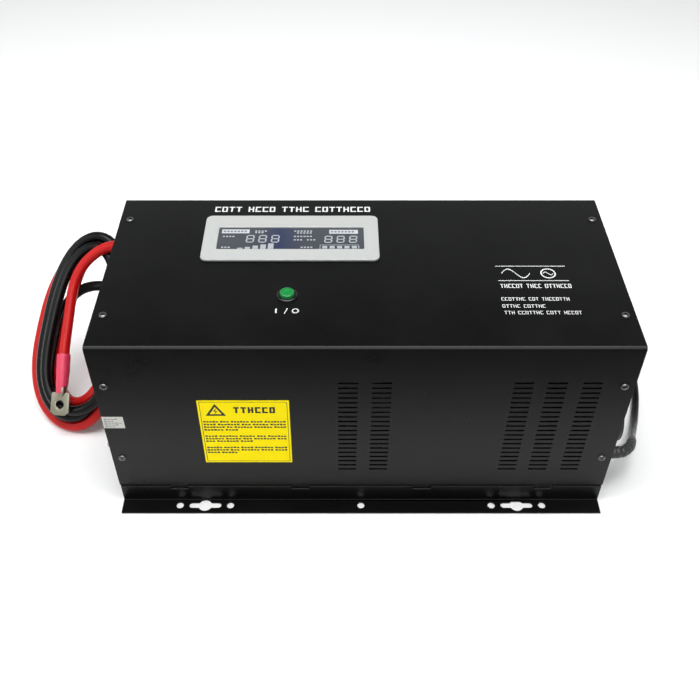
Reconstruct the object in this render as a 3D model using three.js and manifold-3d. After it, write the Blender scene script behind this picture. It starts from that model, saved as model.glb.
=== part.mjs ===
// Power inverter: a folded steel case with a raised base, a display and power button on top,
// battery leads on the left end, mains outlets and a cooling fan on the right end.
// Millimetres, +X along the case, +Y to the back, +Z up; the origin is on the surface it stands
// on, under the middle of the case.
import * as THREE from 'three';
import { mergeVertices } from 'three/addons/utils/BufferGeometryUtils.js';
import Module from 'manifold-3d';

const wasm = await Module();
wasm.setup();

// ---- Driving dimensions ----
const caseLength = 455;
const caseDepth = 210;
const caseHeight = 200.7;
const gap = 0.3; // clearance between pieces that fit together
const coverSheet = 1.2;
const panelSheet = 1.5;
const baseSheet = 1.5;
const bendRadius = 3.5; // outside of the cover's two long bends

const baseRise = 21.7; // top of the raised base
const baseLedge = 1.2; // how far the base stands proud of the cover's face
const baseEndInset = 0.9;
const flangeReach = 17.1; // from the cover's face to the flange's edge
const holeLine = 8.2; // from the cover's face to the row of fixing holes
const keyholeX = 148.1;
const keyhole = { slotLength: 30.3, slotWidth: 5.6, headDiameter: 12.7 };
const fixingHole = { diameter: 6.8, offset: 24 };
const tab = { width: 15.9, drop: 3.9, places: [57.2, 171.5] };

const panelFlange = 16;
const panelSetBack = 1.5;
const screw = { headRadius: 3.5, headHeight: 2, shankRadius: 1.8, length: 9, fromEnd: 9.3 };
const topScrewY = [-65.6, 70.1];
const sideScrewZ = [62.4, 156.2];

const vent = { length: 16.5, height: 1.9, pitch: 6, firstZ: 46, topMargin: 40 };
const middleVentX = [-13.3, 15.2];
const endVentFromEnd = [36.1, 65.4, 93.5];

const display = { x: -65, y: 41, width: 161, depth: 69.3, corner: 8, lip: 2.6 };
const displayWindow = { x: -65.1, y: 40.5, width: 133.6, depth: 32.8, thickness: 2 };
const displayNeck = { inset: 7, depth: 9 }; // the part of the bezel that passes through the cover
const displayBoard = { width: 140, depth: 52, glassWidth: 124, glassDepth: 26, glassHeight: 5 };

const button = {
  x: -65.4, y: -40, ringRadius: 9.1, ringHeight: 1.6, barrelRadius: 7.9, barrelLength: 22,
};
const buttonCap = { radius: 6.2, proud: 4.4, length: 12, travel: 2.5 };
const buttonNut = { radius: 10.5, height: 3 };

const frontLabel = { x: -103.1, z: 97.7, width: 79, height: 83, thickness: 0.3 };

const fan = {
  size: 80, depth: 25, bore: 38, bladeRadius: 36.6, hubRadius: 16, hubDepth: 17,
  fromBack: 10, fromTop: 17.7, pitchHole: 35.75, mountDepth: 4, blades: 7,
};
const fanGuard = { thickness: 1.6, stand: 4.5, bars: 3.4, radii: [37, 28, 19, 10] };
const outlet = { size: 48, aboveBase: 30, wellRadius: 19.5, wellDepth: 17, pinRadius: 2.6, pinSpacing: 19 };
const outletGaps = [13, 4, 7]; // in front of, between and behind the outlets, as shares of the free width
const breaker = {
  belowMiddle: 2.5, bodySize: 22, bodyDepth: 30, nutRadius: 8, nutHeight: 4,
  buttonRadius: 4.4, buttonProud: 6.5, travel: 2.5,
};
const endProud = 10.5; // furthest reach past the case's ends

const gland = { threadRadius: 8.2, hexRadius: 12.5, hexLength: 6, domeRadius: 10, length: 21, inner: 9 };
const lead = { radius: 5.25, sides: 10 };
const redGland = { fromBack: 60, z: 48 };
const blackGland = { fromBack: 17, z: 100 };
const endVent = { length: 50, height: 3, pitch: 9, rows: 10, y: -45, firstZ: 84 };
const earth = { y: -80, z: 52, radius: 3, nutRadius: 6.4, nutHeight: 5 };

const mains = {
  radius: 3.75, sides: 8, y: -80, aboveBase: 18, glandReach: 12, glandRadius: 7.5, hexRadius: 10, hexLength: 5,
};
const mainsCoil = { fromPanel: 76, y: 182, radius: 40, half: 8.3 };
const plug = {
  y: 145, fromCoil: 62, radius: 18.5, length: 36, tail: 20, tailRadius: 8,
  pinRadius: 2.4, pinLength: 19, pinSpacing: 19,
};

const toroid = { outer: 75, inner: 26, height: 72, fromFilter: 6.5, corner: 12, boltRadius: 4 };
const toroidWasher = { radius: 42, thickness: 3 };
const board = { thickness: 1.6, standoff: 8 };
const powerBoard = { fromEnd: 22, fromToroid: 13.5, width: 176 };
const heatSink = { fromBoardEnds: 12.5, height: 52, base: 5, fin: 1.8, fins: 6, depth: 26, fromEdge: 8 };
const capacitor = { radius: 12.5, height: 42, y: [-16, 16], fromEnd: 60 };
const filterBoard = { fromEnd: 42, length: 56, width: 150 };

// ---- Worked-out positions ----
const halfLength = caseLength / 2;
const halfDepth = caseDepth / 2;
const coverBottom = baseRise + gap;
const panelFace = halfLength - panelSetBack;
const panelTop = caseHeight - coverSheet - gap;
const panelHalfDepth = halfDepth - coverSheet - gap;
const ventRows = Math.floor((caseHeight - vent.firstZ - vent.topMargin) / vent.pitch) + 1;
const holeY = halfDepth + holeLine;
const filterRight = halfLength - filterBoard.fromEnd;
const filterLeft = filterRight - filterBoard.length;
const toroidX = filterLeft - toroid.fromFilter - toroid.outer;
const tabPlaces = tab.places.flatMap((x) => [-x, x]);
const toroidBoltHole = toroid.boltRadius + gap;
const breakerSocket = breaker.nutHeight + 2; // depth of the socket that the breaker's button slides in

// ---- Materials ----
function paint(color, metalness, roughness) {
  return new THREE.MeshStandardMaterial({ color, metalness, roughness });
}
const blackCoat = paint('#17181a', 0.2, 0.45);
const blackPlastic = paint('#141414', 0, 0.5);
const silverPlastic = paint('#dcdee0', 0.1, 0.4);
const smokedWindow = paint('#5c6166', 0, 0.1);
const zincSteel = paint('#c4c6c8', 1, 0.35);
const blackZinc = paint('#333335', 1, 0.35);
const greenPlastic = paint('#12a04a', 0, 0.3);
const yellowVinyl = paint('#fff000', 0, 0.5);
const redRubber = paint('#c8202a', 0, 0.5);
const blackRubber = paint('#1b1b1d', 0, 0.5);
const pinkSleeve = paint('#d8526a', 0, 0.5);
const tinnedCopper = paint('#c9c2b2', 1, 0.35);
const copper = paint('#b8733f', 1, 0.4);
const aluminium = paint('#b9bcc0', 1, 0.4);
const circuitGreen = paint('#1d5c38', 0, 0.5);
const tapeYellow = paint('#c9a63a', 0, 0.5);
const capSleeve = paint('#2a3550', 0, 0.4);

// ---- Shape helpers ----
const X = new THREE.Vector3(1, 0, 0);
const Y = new THREE.Vector3(0, 1, 0);
const Z = new THREE.Vector3(0, 0, 1);

// Turns shapes drawn in the first two directions and pushed along the third into the model's axes.
const turns = {
  x: new THREE.Matrix4().makeBasis(Y, Z, X), // drawn as (y, z)
  y: new THREE.Matrix4().makeBasis(Z, X, Y), // drawn as (z, x)
  z: new THREE.Matrix4().makeBasis(X, Y, Z), // drawn as (x, y)
};

// Each arc of the shape gets twice arcSteps straight pieces.
function prism(shape, axis, from, to, arcSteps = 2) {
  const options = { depth: to - from, bevelEnabled: false, curveSegments: arcSteps };
  const geometry = new THREE.ExtrudeGeometry(shape, options);
  return geometry.translate(0, 0, from).applyMatrix4(turns[axis]);
}

function rectangle(a0, a1, b0, b1, radius = 0) {
  const shape = new THREE.Shape();
  if (radius === 0) {
    shape.moveTo(a0, b0).lineTo(a1, b0).lineTo(a1, b1).lineTo(a0, b1).closePath();
    return shape;
  }
  shape.moveTo(a0 + radius, b0).lineTo(a1 - radius, b0);
  shape.absarc(a1 - radius, b0 + radius, radius, -Math.PI / 2, 0);
  shape.absarc(a1 - radius, b1 - radius, radius, 0, Math.PI / 2);
  shape.absarc(a0 + radius, b1 - radius, radius, Math.PI / 2, Math.PI);
  shape.absarc(a0 + radius, b0 + radius, radius, Math.PI, Math.PI * 1.5);
  return shape;
}

function centred(a, b, width, height, radius = 0) {
  return rectangle(a - width / 2, a + width / 2, b - height / 2, b + height / 2, radius);
}

function disc(a, b, radius) {
  return new THREE.Shape().absarc(a, b, radius, 0, Math.PI * 2);
}

function block(x0, x1, y0, y1, z0, z1) {
  return prism(rectangle(x0, x1, y0, y1), 'z', z0, z1);
}

// A rod along an axis; a and b are its centre in the two directions that the axis is drawn with.
function rod(axis, a, b, radius, from, to, segments = 24) {
  return prism(disc(a, b, radius), axis, from, to, segments / 2);
}

function hexagon(a, b, radius) {
  const corners = [];
  for (let i = 0; i < 6; i++) {
    const angle = (i * Math.PI) / 3;
    corners.push(new THREE.Vector2(a + radius * Math.cos(angle), b + radius * Math.sin(angle)));
  }
  return new THREE.Shape(corners);
}

// A turned piece: the profile is [radius, distance along the axis], from the axis and back to it.
function turned(profile, axis, place, segments = 24, sign = 1) {
  const points = profile.map(([r, along]) => new THREE.Vector2(r, along));
  const geometry = new THREE.LatheGeometry(points, segments);
  const direction = { x: X, y: Y, z: Z }[axis].clone().multiplyScalar(sign);
  const turn = new THREE.Quaternion().setFromUnitVectors(Y, direction);
  return geometry.applyQuaternion(turn).translate(...place);
}

function tube(points, radius, sides, step) {
  const route = points.map((p) => new THREE.Vector3(...p));
  const curve = new THREE.CatmullRomCurve3(route, false, 'centripetal');
  const steps = Math.max(2, Math.round(curve.getLength() / step));
  return new THREE.ExtrudeGeometry(disc(0, 0, radius), {
    steps, extrudePath: curve, bevelEnabled: false, curveSegments: sides / 2,
  });
}

function toSolid(geometry) {
  const bare = geometry.clone();
  bare.deleteAttribute('normal');
  bare.deleteAttribute('uv');
  const merged = mergeVertices(bare, 1e-4);
  const triVerts = new Uint32Array(merged.index.array);
  const vertProperties = new Float32Array(merged.attributes.position.array);
  return new wasm.Manifold(new wasm.Mesh({ numProp: 3, vertProperties, triVerts }));
}

function toGeometry(solid) {
  const mesh = solid.getMesh();
  const geometry = new THREE.BufferGeometry();
  geometry.setAttribute('position', new THREE.BufferAttribute(new Float32Array(mesh.vertProperties), 3));
  geometry.setIndex(new THREE.BufferAttribute(new Uint32Array(mesh.triVerts), 1));
  geometry.computeVertexNormals();
  return geometry;
}

function join(...geometries) {
  return toGeometry(geometries.map(toSolid).reduce((a, b) => a.add(b)));
}

function cut(body, ...tools) {
  return toGeometry(tools.map(toSolid).reduce((a, b) => a.subtract(b), toSolid(body)));
}

const inverter = new THREE.Group();
function add(name, geometry, material, parent = inverter) {
  const mesh = new THREE.Mesh(geometry, material);
  mesh.name = name;
  parent.add(mesh);
  return mesh;
}

// ---- Base: one sheet folded into a raised shelf with a fixing flange on each long side ----
function baseChassis() {
  const wall = halfDepth + baseLedge;
  const edge = halfDepth + flangeReach;
  const profile = new THREE.Shape();
  profile.moveTo(-edge, 0).lineTo(-wall + baseSheet, 0).lineTo(-wall + baseSheet, baseRise - baseSheet);
  profile.lineTo(wall - baseSheet, baseRise - baseSheet).lineTo(wall - baseSheet, 0).lineTo(edge, 0);
  profile.lineTo(edge, baseSheet).lineTo(wall, baseSheet).lineTo(wall, baseRise);
  profile.lineTo(-wall, baseRise).lineTo(-wall, baseSheet).lineTo(-edge, baseSheet).closePath();
  const end = halfLength - baseEndInset;
  const cuts = [];
  const low = -1;
  const high = baseSheet + 1;
  for (const y of [-holeY, holeY]) {
    cuts.push(rod('z', 0, y, fixingHole.diameter / 2, low, high, 16));
    for (const x of [-keyholeX, keyholeX]) {
      const slot = centred(x, y, keyhole.slotLength, keyhole.slotWidth, keyhole.slotWidth / 2 - 0.01);
      cuts.push(prism(slot, 'z', low, high), rod('z', x, y, keyhole.headDiameter / 2, low, high, 20));
      for (const side of [-1, 1]) {
        cuts.push(rod('z', x + side * fixingHole.offset, y, fixingHole.diameter / 2, low, high, 16));
      }
    }
  }
  for (const x of tabPlaces) {
    const half = tab.width / 2 + gap;
    for (const side of [-1, 1]) {
      const outside = side * (wall + 1);
      const inside = side * (halfDepth - coverSheet - gap);
      const y0 = Math.min(outside, inside);
      const y1 = Math.max(outside, inside);
      cuts.push(block(x - half, x + half, y0, y1, baseRise - tab.drop - gap, baseRise + 1));
    }
  }
  cuts.push(rod('z', toroidX, 0, toroidBoltHole, 0, baseRise + 1, 16));
  return cut(prism(profile, 'x', -end, end), ...cuts);
}

// ---- Cover: front, top and back in one sheet, with tabs that hook into the base ----
function coverProfile() {
  const outer = new THREE.Shape();
  const r = bendRadius;
  const inner = r - coverSheet;
  const side = halfDepth - coverSheet;
  outer.moveTo(-halfDepth, coverBottom).lineTo(-side, coverBottom).lineTo(-side, caseHeight - r);
  outer.absarc(-halfDepth + r, caseHeight - r, inner, Math.PI, Math.PI / 2, true);
  outer.lineTo(halfDepth - r, caseHeight - coverSheet);
  outer.absarc(halfDepth - r, caseHeight - r, inner, Math.PI / 2, 0, true);
  outer.lineTo(side, coverBottom).lineTo(halfDepth, coverBottom).lineTo(halfDepth, caseHeight - r);
  outer.absarc(halfDepth - r, caseHeight - r, r, 0, Math.PI / 2);
  outer.lineTo(-halfDepth + r, caseHeight);
  outer.absarc(-halfDepth + r, caseHeight - r, r, Math.PI / 2, Math.PI);
  outer.closePath();
  return outer;
}

function ventSlots(columns, side) {
  const slots = [];
  const y = side * halfDepth;
  for (const x of columns) {
    for (let row = 0; row < ventRows; row++) {
      const z = vent.firstZ + row * vent.pitch;
      const half = vent.height / 2;
      slots.push(block(x - vent.length / 2, x + vent.length / 2, y - 3, y + 3, z - half, z + half));
    }
  }
  return slots;
}

const endVentX = endVentFromEnd.map((d) => halfLength - d);
const screwX = halfLength - screw.fromEnd;
const screwHole = screw.shankRadius + gap;
const screwPlaces = {
  top: [-screwX, screwX].flatMap((x) => topScrewY.map((y) => [x, y])),
  side: [-screwX, screwX].flatMap((x) => sideScrewZ.map((z) => [x, z])),
};

function screwHoles(reach) {
  const holes = screwPlaces.top.map(([x, y]) =>
    rod('z', x, y, screwHole, caseHeight - reach, caseHeight + 1, 12));
  for (const [x, z] of screwPlaces.side) {
    holes.push(rod('y', z, x, screwHole, -halfDepth - 1, -halfDepth + reach, 12));
    holes.push(rod('y', z, x, screwHole, halfDepth - reach, halfDepth + 1, 12));
  }
  return holes;
}

function cover() {
  const body = prism(coverProfile(), 'x', -halfLength, halfLength, 3);
  const tabs = tabPlaces.flatMap((x) => [-1, 1].map((side) => {
    const outside = side * halfDepth;
    const inside = side * (halfDepth - coverSheet);
    const y0 = Math.min(outside, inside);
    const y1 = Math.max(outside, inside);
    return block(x - tab.width / 2, x + tab.width / 2, y0, y1, baseRise - tab.drop, coverBottom + 1);
  }));
  const neck = displayNeck.inset - gap;
  const { x, y, width, depth, corner } = display;
  const opening = centred(x, y, width - 2 * neck, depth - 2 * neck, corner / 2);
  return cut(
    join(body, ...tabs),
    ...ventSlots([...middleVentX, ...endVentX], -1),
    ...ventSlots(endVentX.slice(0, 2), 1),
    prism(opening, 'z', caseHeight - 3, caseHeight + 1),
    rod('z', button.x, button.y, button.barrelRadius + gap, caseHeight - 3, caseHeight + 1, 24),
    ...screwHoles(coverSheet + 1),
  );
}

// ---- End panels: pans with a flange all round that the cover is screwed to ----
const fanY = halfDepth - fan.fromBack - fan.size / 2;
const fanZ = caseHeight - fan.fromTop - fan.size / 2;
const fanBottom = fanZ - fan.size / 2;
const outletZ = coverBottom + outlet.aboveBase + outlet.size / 2;
const freeWidth = fanY - fan.size / 2 + halfDepth - 2 * outlet.size;
const [gapBefore, gapBetween] = outletGaps.map((g) => (freeWidth * g) / outletGaps.reduce((a, b) => a + b));
const frontOutletY = -halfDepth + gapBefore + outlet.size / 2;
const rightSide = {
  fan: { y: fanY, z: fanZ },
  outlets: [frontOutletY, frontOutletY + outlet.size + gapBetween],
  breaker: { y: fanY, z: (coverBottom + fanBottom) / 2 - breaker.belowMiddle },
};
const mainsZ = coverBottom + mains.aboveBase;

function endPanel(side, openings) {
  const face = side * panelFace;
  const lip = side * (panelFace - panelFlange);
  const back = side * (panelFace - panelSheet);
  const y = panelHalfDepth;
  const outline = rectangle(-y, y, coverBottom, panelTop, bendRadius - coverSheet);
  const t = panelSheet;
  const pocket = rectangle(-y + t, y - t, coverBottom + t, panelTop - t, 1);
  const body = prism(outline, 'x', Math.min(face, lip), Math.max(face, lip));
  const hollow = prism(pocket, 'x', Math.min(back, lip - side), Math.max(back, lip - side), 1);
  return cut(body, hollow, ...openings, ...screwHoles(screw.length));
}

function leftPanel() {
  const from = -panelFace - 1;
  const to = -panelFace + panelSheet + 1;
  const openings = [
    rod('x', halfDepth - redGland.fromBack, redGland.z, gland.threadRadius + gap, from, to),
    rod('x', halfDepth - blackGland.fromBack, blackGland.z, gland.threadRadius + gap, from, to),
    rod('x', earth.y, earth.z, earth.radius + gap, from, to, 12),
  ];
  for (let row = 0; row < endVent.rows; row++) {
    const z = endVent.firstZ + row * endVent.pitch;
    openings.push(prism(centred(endVent.y, z, endVent.length, endVent.height), 'x', from, to));
  }
  return endPanel(-1, openings);
}

function rightPanel() {
  const from = panelFace - panelSheet - 1;
  const to = panelFace + 1;
  const { fan: f, outlets, breaker: b } = rightSide;
  const openings = [rod('x', f.y, f.z, fan.bore - 1, from, to, 40)];
  for (const y of outlets) openings.push(rod('x', y, outletZ, outlet.wellRadius + 2 + gap, from, to, 32));
  openings.push(rod('x', b.y, b.z, breaker.nutRadius - 2 + gap, from, to, 16));
  openings.push(rod('x', mains.y, mainsZ, mains.glandRadius + gap, from, to, 16));
  return endPanel(1, openings);
}

add('base_chassis', baseChassis(), blackCoat);
add('cover', cover(), blackCoat);
add('left_panel', leftPanel(), blackCoat);
add('right_panel', rightPanel(), blackCoat);

// ---- Cover screws ----
function screwGeometry() {
  const { headRadius: r, headHeight: h, shankRadius: s, length } = screw;
  const profile = [[0, -length], [s, -length + 1.5], [s, 0], [r, 0], [r * 0.7, h], [0, h]];
  return new THREE.LatheGeometry(profile.map(([a, b]) => new THREE.Vector2(a, b)), 10);
}

function addScrews(label, places, position, outward) {
  places.forEach((place, i) => {
    const mesh = add(`cover_screw_${label}_${i + 1}`, screwGeometry(), blackZinc);
    mesh.position.set(...position(place));
    mesh.quaternion.setFromUnitVectors(Y, outward);
  });
}
addScrews('top', screwPlaces.top, ([x, y]) => [x, y, caseHeight], Z);
addScrews('front', screwPlaces.side, ([x, z]) => [x, -halfDepth, z], Y.clone().negate());
addScrews('back', screwPlaces.side, ([x, z]) => [x, halfDepth, z], Y);

// ---- Display: bezel, window and circuit board ----
// The window's outline, this much larger than the window itself.
function windowShape(extra) {
  const { x, y, width, depth } = displayWindow;
  return centred(x, y, width + extra, depth + extra, 1);
}
function displayBezel() {
  const { x, y, width, depth, corner, lip } = display;
  const neck = displayNeck.inset;
  const seatEdge = 1.5; // the ledge round the opening that the window rests on
  const opening = windowShape(-2 * seatEdge);
  const seat = windowShape(gap);
  const top = caseHeight + lip;
  return cut(
    join(
      prism(centred(x, y, width, depth, corner), 'z', caseHeight, top, 3),
      prism(
        centred(x, y, width - 2 * neck, depth - 2 * neck, corner / 2),
        'z', caseHeight - displayNeck.depth, caseHeight + 1,
      ),
    ),
    prism(opening, 'z', caseHeight - displayNeck.depth - 1, top + 1, 1),
    prism(seat, 'z', top - displayWindow.thickness, top + 1, 1),
  );
}
add('display_bezel', displayBezel(), silverPlastic);
const windowTop = caseHeight + display.lip - gap;
const windowBottom = caseHeight + display.lip - displayWindow.thickness + gap / 3;
add('display_window', prism(windowShape(-gap), 'z', windowBottom, windowTop, 1), smokedWindow);
function displayCircuit() {
  const { width, depth, glassWidth, glassDepth, glassHeight } = displayBoard;
  const top = caseHeight - displayNeck.depth - gap;
  const glass = centred(displayWindow.x, displayWindow.y, glassWidth, glassDepth);
  return join(
    prism(centred(display.x, display.y, width, depth), 'z', top - board.thickness, top),
    prism(glass, 'z', top - 1, top + glassHeight),
  );
}
add('display_board', displayCircuit(), circuitGreen);

// ---- Power button: ring with a threaded barrel, sprung cap, nut under the cover ----
const buttonPlace = [button.x, button.y, caseHeight];
function buttonRing() {
  const { ringRadius, ringHeight, barrelRadius, barrelLength } = button;
  const bore = buttonCap.radius + gap;
  const boreFloor = buttonCap.proud - buttonCap.length - buttonCap.travel - 1;
  return turned([
    [0, -barrelLength], [barrelRadius, -barrelLength], [barrelRadius, 0], [ringRadius, 0],
    [ringRadius, ringHeight * 0.6], [ringRadius - 0.8, ringHeight], [bore, ringHeight], [bore, boreFloor],
    [0, boreFloor],
  ], 'z', buttonPlace);
}
function pushCap() {
  const { radius, proud, length } = buttonCap;
  return turned([
    [0, proud - length], [radius, proud - length], [radius, proud - 0.9], [radius - 0.5, proud - 0.2],
    [radius - 1.6, proud], [0, proud - 0.3],
  ], 'z', buttonPlace);
}
function buttonLockNut() {
  const top = caseHeight - coverSheet;
  return cut(
    prism(hexagon(button.x, button.y, buttonNut.radius), 'z', top - buttonNut.height, top),
    rod('z', button.x, button.y, button.barrelRadius + gap, top - buttonNut.height - 1, top + 1),
  );
}
add('power_button_ring', buttonRing(), blackPlastic);
add('power_button_cap', pushCap(), greenPlastic);
add('power_button_nut', buttonLockNut(), blackPlastic);

add('front_label', block(
  frontLabel.x - frontLabel.width / 2, frontLabel.x + frontLabel.width / 2,
  -halfDepth - frontLabel.thickness, -halfDepth,
  frontLabel.z - frontLabel.height / 2, frontLabel.z + frontLabel.height / 2,
), yellowVinyl);

// ---- Battery glands and leads on the left end ----
const glandPlaces = {
  red: [-panelFace, halfDepth - redGland.fromBack, redGland.z],
  black: [-panelFace, halfDepth - blackGland.fromBack, blackGland.z],
};
function cableGland(place) {
  const { threadRadius, hexRadius, hexLength, domeRadius, length, inner } = gland;
  const bore = lead.radius + 2 * gap;
  const [x, y, z] = place;
  const dome = turned([
    [bore, -inner], [threadRadius, -inner], [threadRadius, 0], [domeRadius, 0], [domeRadius, length - 6],
    [domeRadius - 2.6, length], [bore, length], [bore, -inner],
  ], 'x', place, 20, -1);
  const flats = cut(
    prism(hexagon(y, z, hexRadius), 'x', x - hexLength, x),
    rod('x', y, z, bore, x - hexLength - 1, x + 1),
  );
  return join(dome, flats);
}
add('red_gland', cableGland(glandPlaces.red), blackPlastic);
add('black_gland', cableGland(glandPlaces.black), blackPlastic);

// The leads are wound into a loose oval coil that stands on the floor and leans on the left end.
// Coil coordinates: along its long side, to the left, and out of its face.
const coilCentre = new THREE.Vector3(-panelFace - 55, 48, 78);
const coilFace = new THREE.Vector3(-0.215, -0.703, 0.677).normalize();
const coilLeft = coilFace.clone().cross(new THREE.Vector3(0.111, 0.672, 0.732)).normalize();
const coilAlong = coilLeft.clone().cross(coilFace);
const coilFrame = new THREE.Matrix4().makeBasis(coilAlong, coilLeft, coilFace).setPosition(coilCentre);
function inCoil(points) {
  return points.map((p) => new THREE.Vector3(...p).applyMatrix4(coilFrame).toArray());
}
const coilOval = { along: 98, left: 48, right: 38, shift: -3, lean: -5, fullness: 0.25 };
const coilSection = { outer: -3.5, inner: 18, low: -7, high: 8, bevel: 2.5 };

// The oval at a turn angle from its top towards the left, this far inside the outermost strand.
function ovalPoint(angle, inset) {
  const { along, left, right, shift, lean, fullness } = coilOval;
  const c = Math.cos(angle);
  const s = Math.sin(angle);
  const reach = s > 0 ? left : right;
  const full = 1 + fullness * Math.max(0, -c);
  return [(along - inset) * c, shift + lean * c + (reach - inset) * s * full];
}

function ovalPath(inset, Kind) {
  const points = [];
  const count = 28;
  for (let i = 0; i < count; i++) {
    points.push(new THREE.Vector2(...ovalPoint((i * 2 * Math.PI) / count, inset)));
  }
  return new Kind(points);
}

function batteryCoil() {
  const { outer, inner, low, high, bevel } = coilSection;
  const ring = ovalPath(outer + bevel, THREE.Shape);
  ring.holes.push(ovalPath(inner - bevel, THREE.Path));
  const geometry = new THREE.ExtrudeGeometry(ring, {
    depth: high - low - 2 * bevel,
    bevelEnabled: true,
    bevelThickness: bevel,
    bevelSize: bevel,
    bevelSegments: 1,
  });
  return geometry.translate(0, 0, low + bevel).applyMatrix4(coilFrame);
}
add('battery_coil', batteryCoil(), blackRubber);

// The part of a lead between its gland and the coil; the points are [distance out from the panel, y, z].
function leadFromGland(place, points) {
  const [, y, z] = place;
  const straight = [[gland.length - 12, y, z], [gland.length + 6, y, z]];
  const route = [...straight, ...points].map(([out, ...across]) => [-panelFace - out, ...across]);
  return tube(route, lead.radius, lead.sides, 20);
}
const redLeadPoints = [[33, 50, 53], [37, 58, 64], [34, 65, 77], [28, 69.5, 88.3]];
const blackLeadPoints = [[36, 88, 100], [48, 87, 99]];
add('red_lead', leadFromGland(glandPlaces.red, redLeadPoints), redRubber);
add('black_lead', leadFromGland(glandPlaces.black, blackLeadPoints), blackRubber);

// Free ends, in coil coordinates: the red one lies over the coil's face, the black one behind the case.
const redTail = [
  [83, -31, 14.5], [81, -12, 15], [75, 1, 15], [60, 9, 14], [38, 12, 13], [12, 12, 13.5], [-10, 12, 15],
];
const redSleeve = [[-10.5, 12, 15.2], [-26, 11, 17.5], [-44, 8.5, 19.5], [-60, 7.5, 20.5]];
const blackTail = [[-62, -32, 16], [-50, -36, 18], [-36, -38, 20], [-22, -39, 21]];
const blackSleeve = [[-21.5, -39, 21], [-4, -39.5, 21.5], [12, -38.5, 22]];
const sleeveRadius = 6.6;
add('red_tail', tube(inCoil(redTail), lead.radius, lead.sides, 20), redRubber);
add('red_sleeve', tube(inCoil(redSleeve), sleeveRadius, lead.sides, 14), pinkSleeve);
add('black_tail', tube(inCoil(blackTail), lead.radius, lead.sides, 14), blackRubber);
add('black_sleeve', tube(inCoil(blackSleeve), sleeveRadius, lead.sides, 14), blackRubber);

// A ring lug: a short barrel and a flat palm with a hole, drawn pointing along -X from its barrel.
const lug = { width: 21, palm: 25, thickness: 3, hole: 4.3, barrel: 5, barrelRadius: 5.6 };
function ringLug() {
  const { width, palm, thickness, hole, barrel, barrelRadius } = lug;
  const half = width / 2;
  const outline = new THREE.Shape([
    new THREE.Vector2(0, -half), new THREE.Vector2(0, half), new THREE.Vector2(-palm + 5, half),
    new THREE.Vector2(-palm, 0.6), new THREE.Vector2(-palm, -0.6), new THREE.Vector2(-palm + 5, -half),
  ]);
  outline.holes.push(new THREE.Path().absarc(-palm * 0.52, 0, hole, 0, Math.PI * 2, true));
  const flat = prism(outline, 'z', -thickness / 2, thickness / 2, 8);
  return join(flat, rod('x', 0, 0, barrelRadius, -2, barrel, 16));
}
function addLug(name, point, towards) {
  const [from, to] = inCoil([point, towards]).map((p) => new THREE.Vector3(...p));
  const along = from.clone().sub(to).normalize();
  const side = coilFace.clone().cross(along).normalize();
  const mesh = add(name, ringLug(), tinnedCopper);
  mesh.quaternion.setFromRotationMatrix(new THREE.Matrix4().makeBasis(along, side, along.clone().cross(side)));
  mesh.position.copy(from);
}
addLug('red_lug', [-66, 7.2, 20.7], [-76, 6.7, 21]);
addLug('black_lug', [18, -38.2, 22.2], [28, -37.5, 22.5]);

// ---- Earth stud below the end vents ----
add('earth_stud', join(
  rod('x', earth.y, earth.z, earth.radius, -halfLength - endProud, -panelFace + 8, 12),
  prism(hexagon(earth.y, earth.z, earth.nutRadius), 'x', -panelFace - earth.nutHeight, -panelFace),
), zincSteel);

// ---- Fan behind the right panel, with a finger guard outside ----
const fanX = panelFace - panelSheet - fan.depth; // inner face of the fan's frame
const fanShaft = 1.5;
function fanFrame() {
  const { y, z } = rightSide.fan;
  const struts = [0, 1, 2, 3].map((i) => {
    const strut = prism(rectangle(10, fan.bore + 1, -1.5, 1.5), 'x', 0, fan.mountDepth - 1);
    return strut.rotateX((i * Math.PI) / 2 + 0.4).translate(fanX, y, z);
  });
  const corners = [-1, 1].flatMap((a) => [-1, 1].map((b) =>
    rod('x', y + a * fan.pitchHole, z + b * fan.pitchHole, 2.2, fanX - 1, panelFace + 1, 10)));
  const shell = cut(
    prism(centred(y, z, fan.size, fan.size, 4), 'x', fanX, fanX + fan.depth - gap),
    rod('x', y, z, fan.bore, fanX - 1, panelFace + 1, 40), ...corners,
  );
  const mount = cut(
    rod('x', y, z, fan.hubRadius, fanX, fanX + fan.mountDepth),
    rod('x', y, z, fanShaft + gap, fanX + 1.5, fanX + fan.mountDepth + 1, 12),
  );
  return join(shell, mount, ...struts);
}
function fanRotor() {
  const { y, z } = rightSide.fan;
  const { hubRadius, hubDepth, bladeRadius, mountDepth, blades } = fan;
  const start = fanX + mountDepth + 1;
  const hubProfile = [
    [0, 0], [hubRadius, 0], [hubRadius, hubDepth - 2], [hubRadius - 2, hubDepth], [0, hubDepth],
  ];
  const pieces = [
    turned(hubProfile, 'x', [start, y, z], 32),
    rod('x', y, z, fanShaft, fanX + 2, start + 1, 12),
  ];
  const section = new THREE.Shape(); // a blade's curved section, along the axis and round it
  section.moveTo(-6, -7).quadraticCurveTo(3.5, 0, 6, 8);
  section.lineTo(7.4, 7.4).quadraticCurveTo(4.6, -1.5, -5.2, -8.2).closePath();
  const root = hubRadius - 1;
  for (let i = 0; i < blades; i++) {
    const options = { depth: bladeRadius - root, bevelEnabled: false, curveSegments: 3 };
    const blade = new THREE.ExtrudeGeometry(section, options);
    blade.translate(0, 0, root).rotateX((i * 2 * Math.PI) / blades);
    pieces.push(blade.translate(start + hubDepth / 2, y, z));
  }
  return join(...pieces);
}
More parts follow.
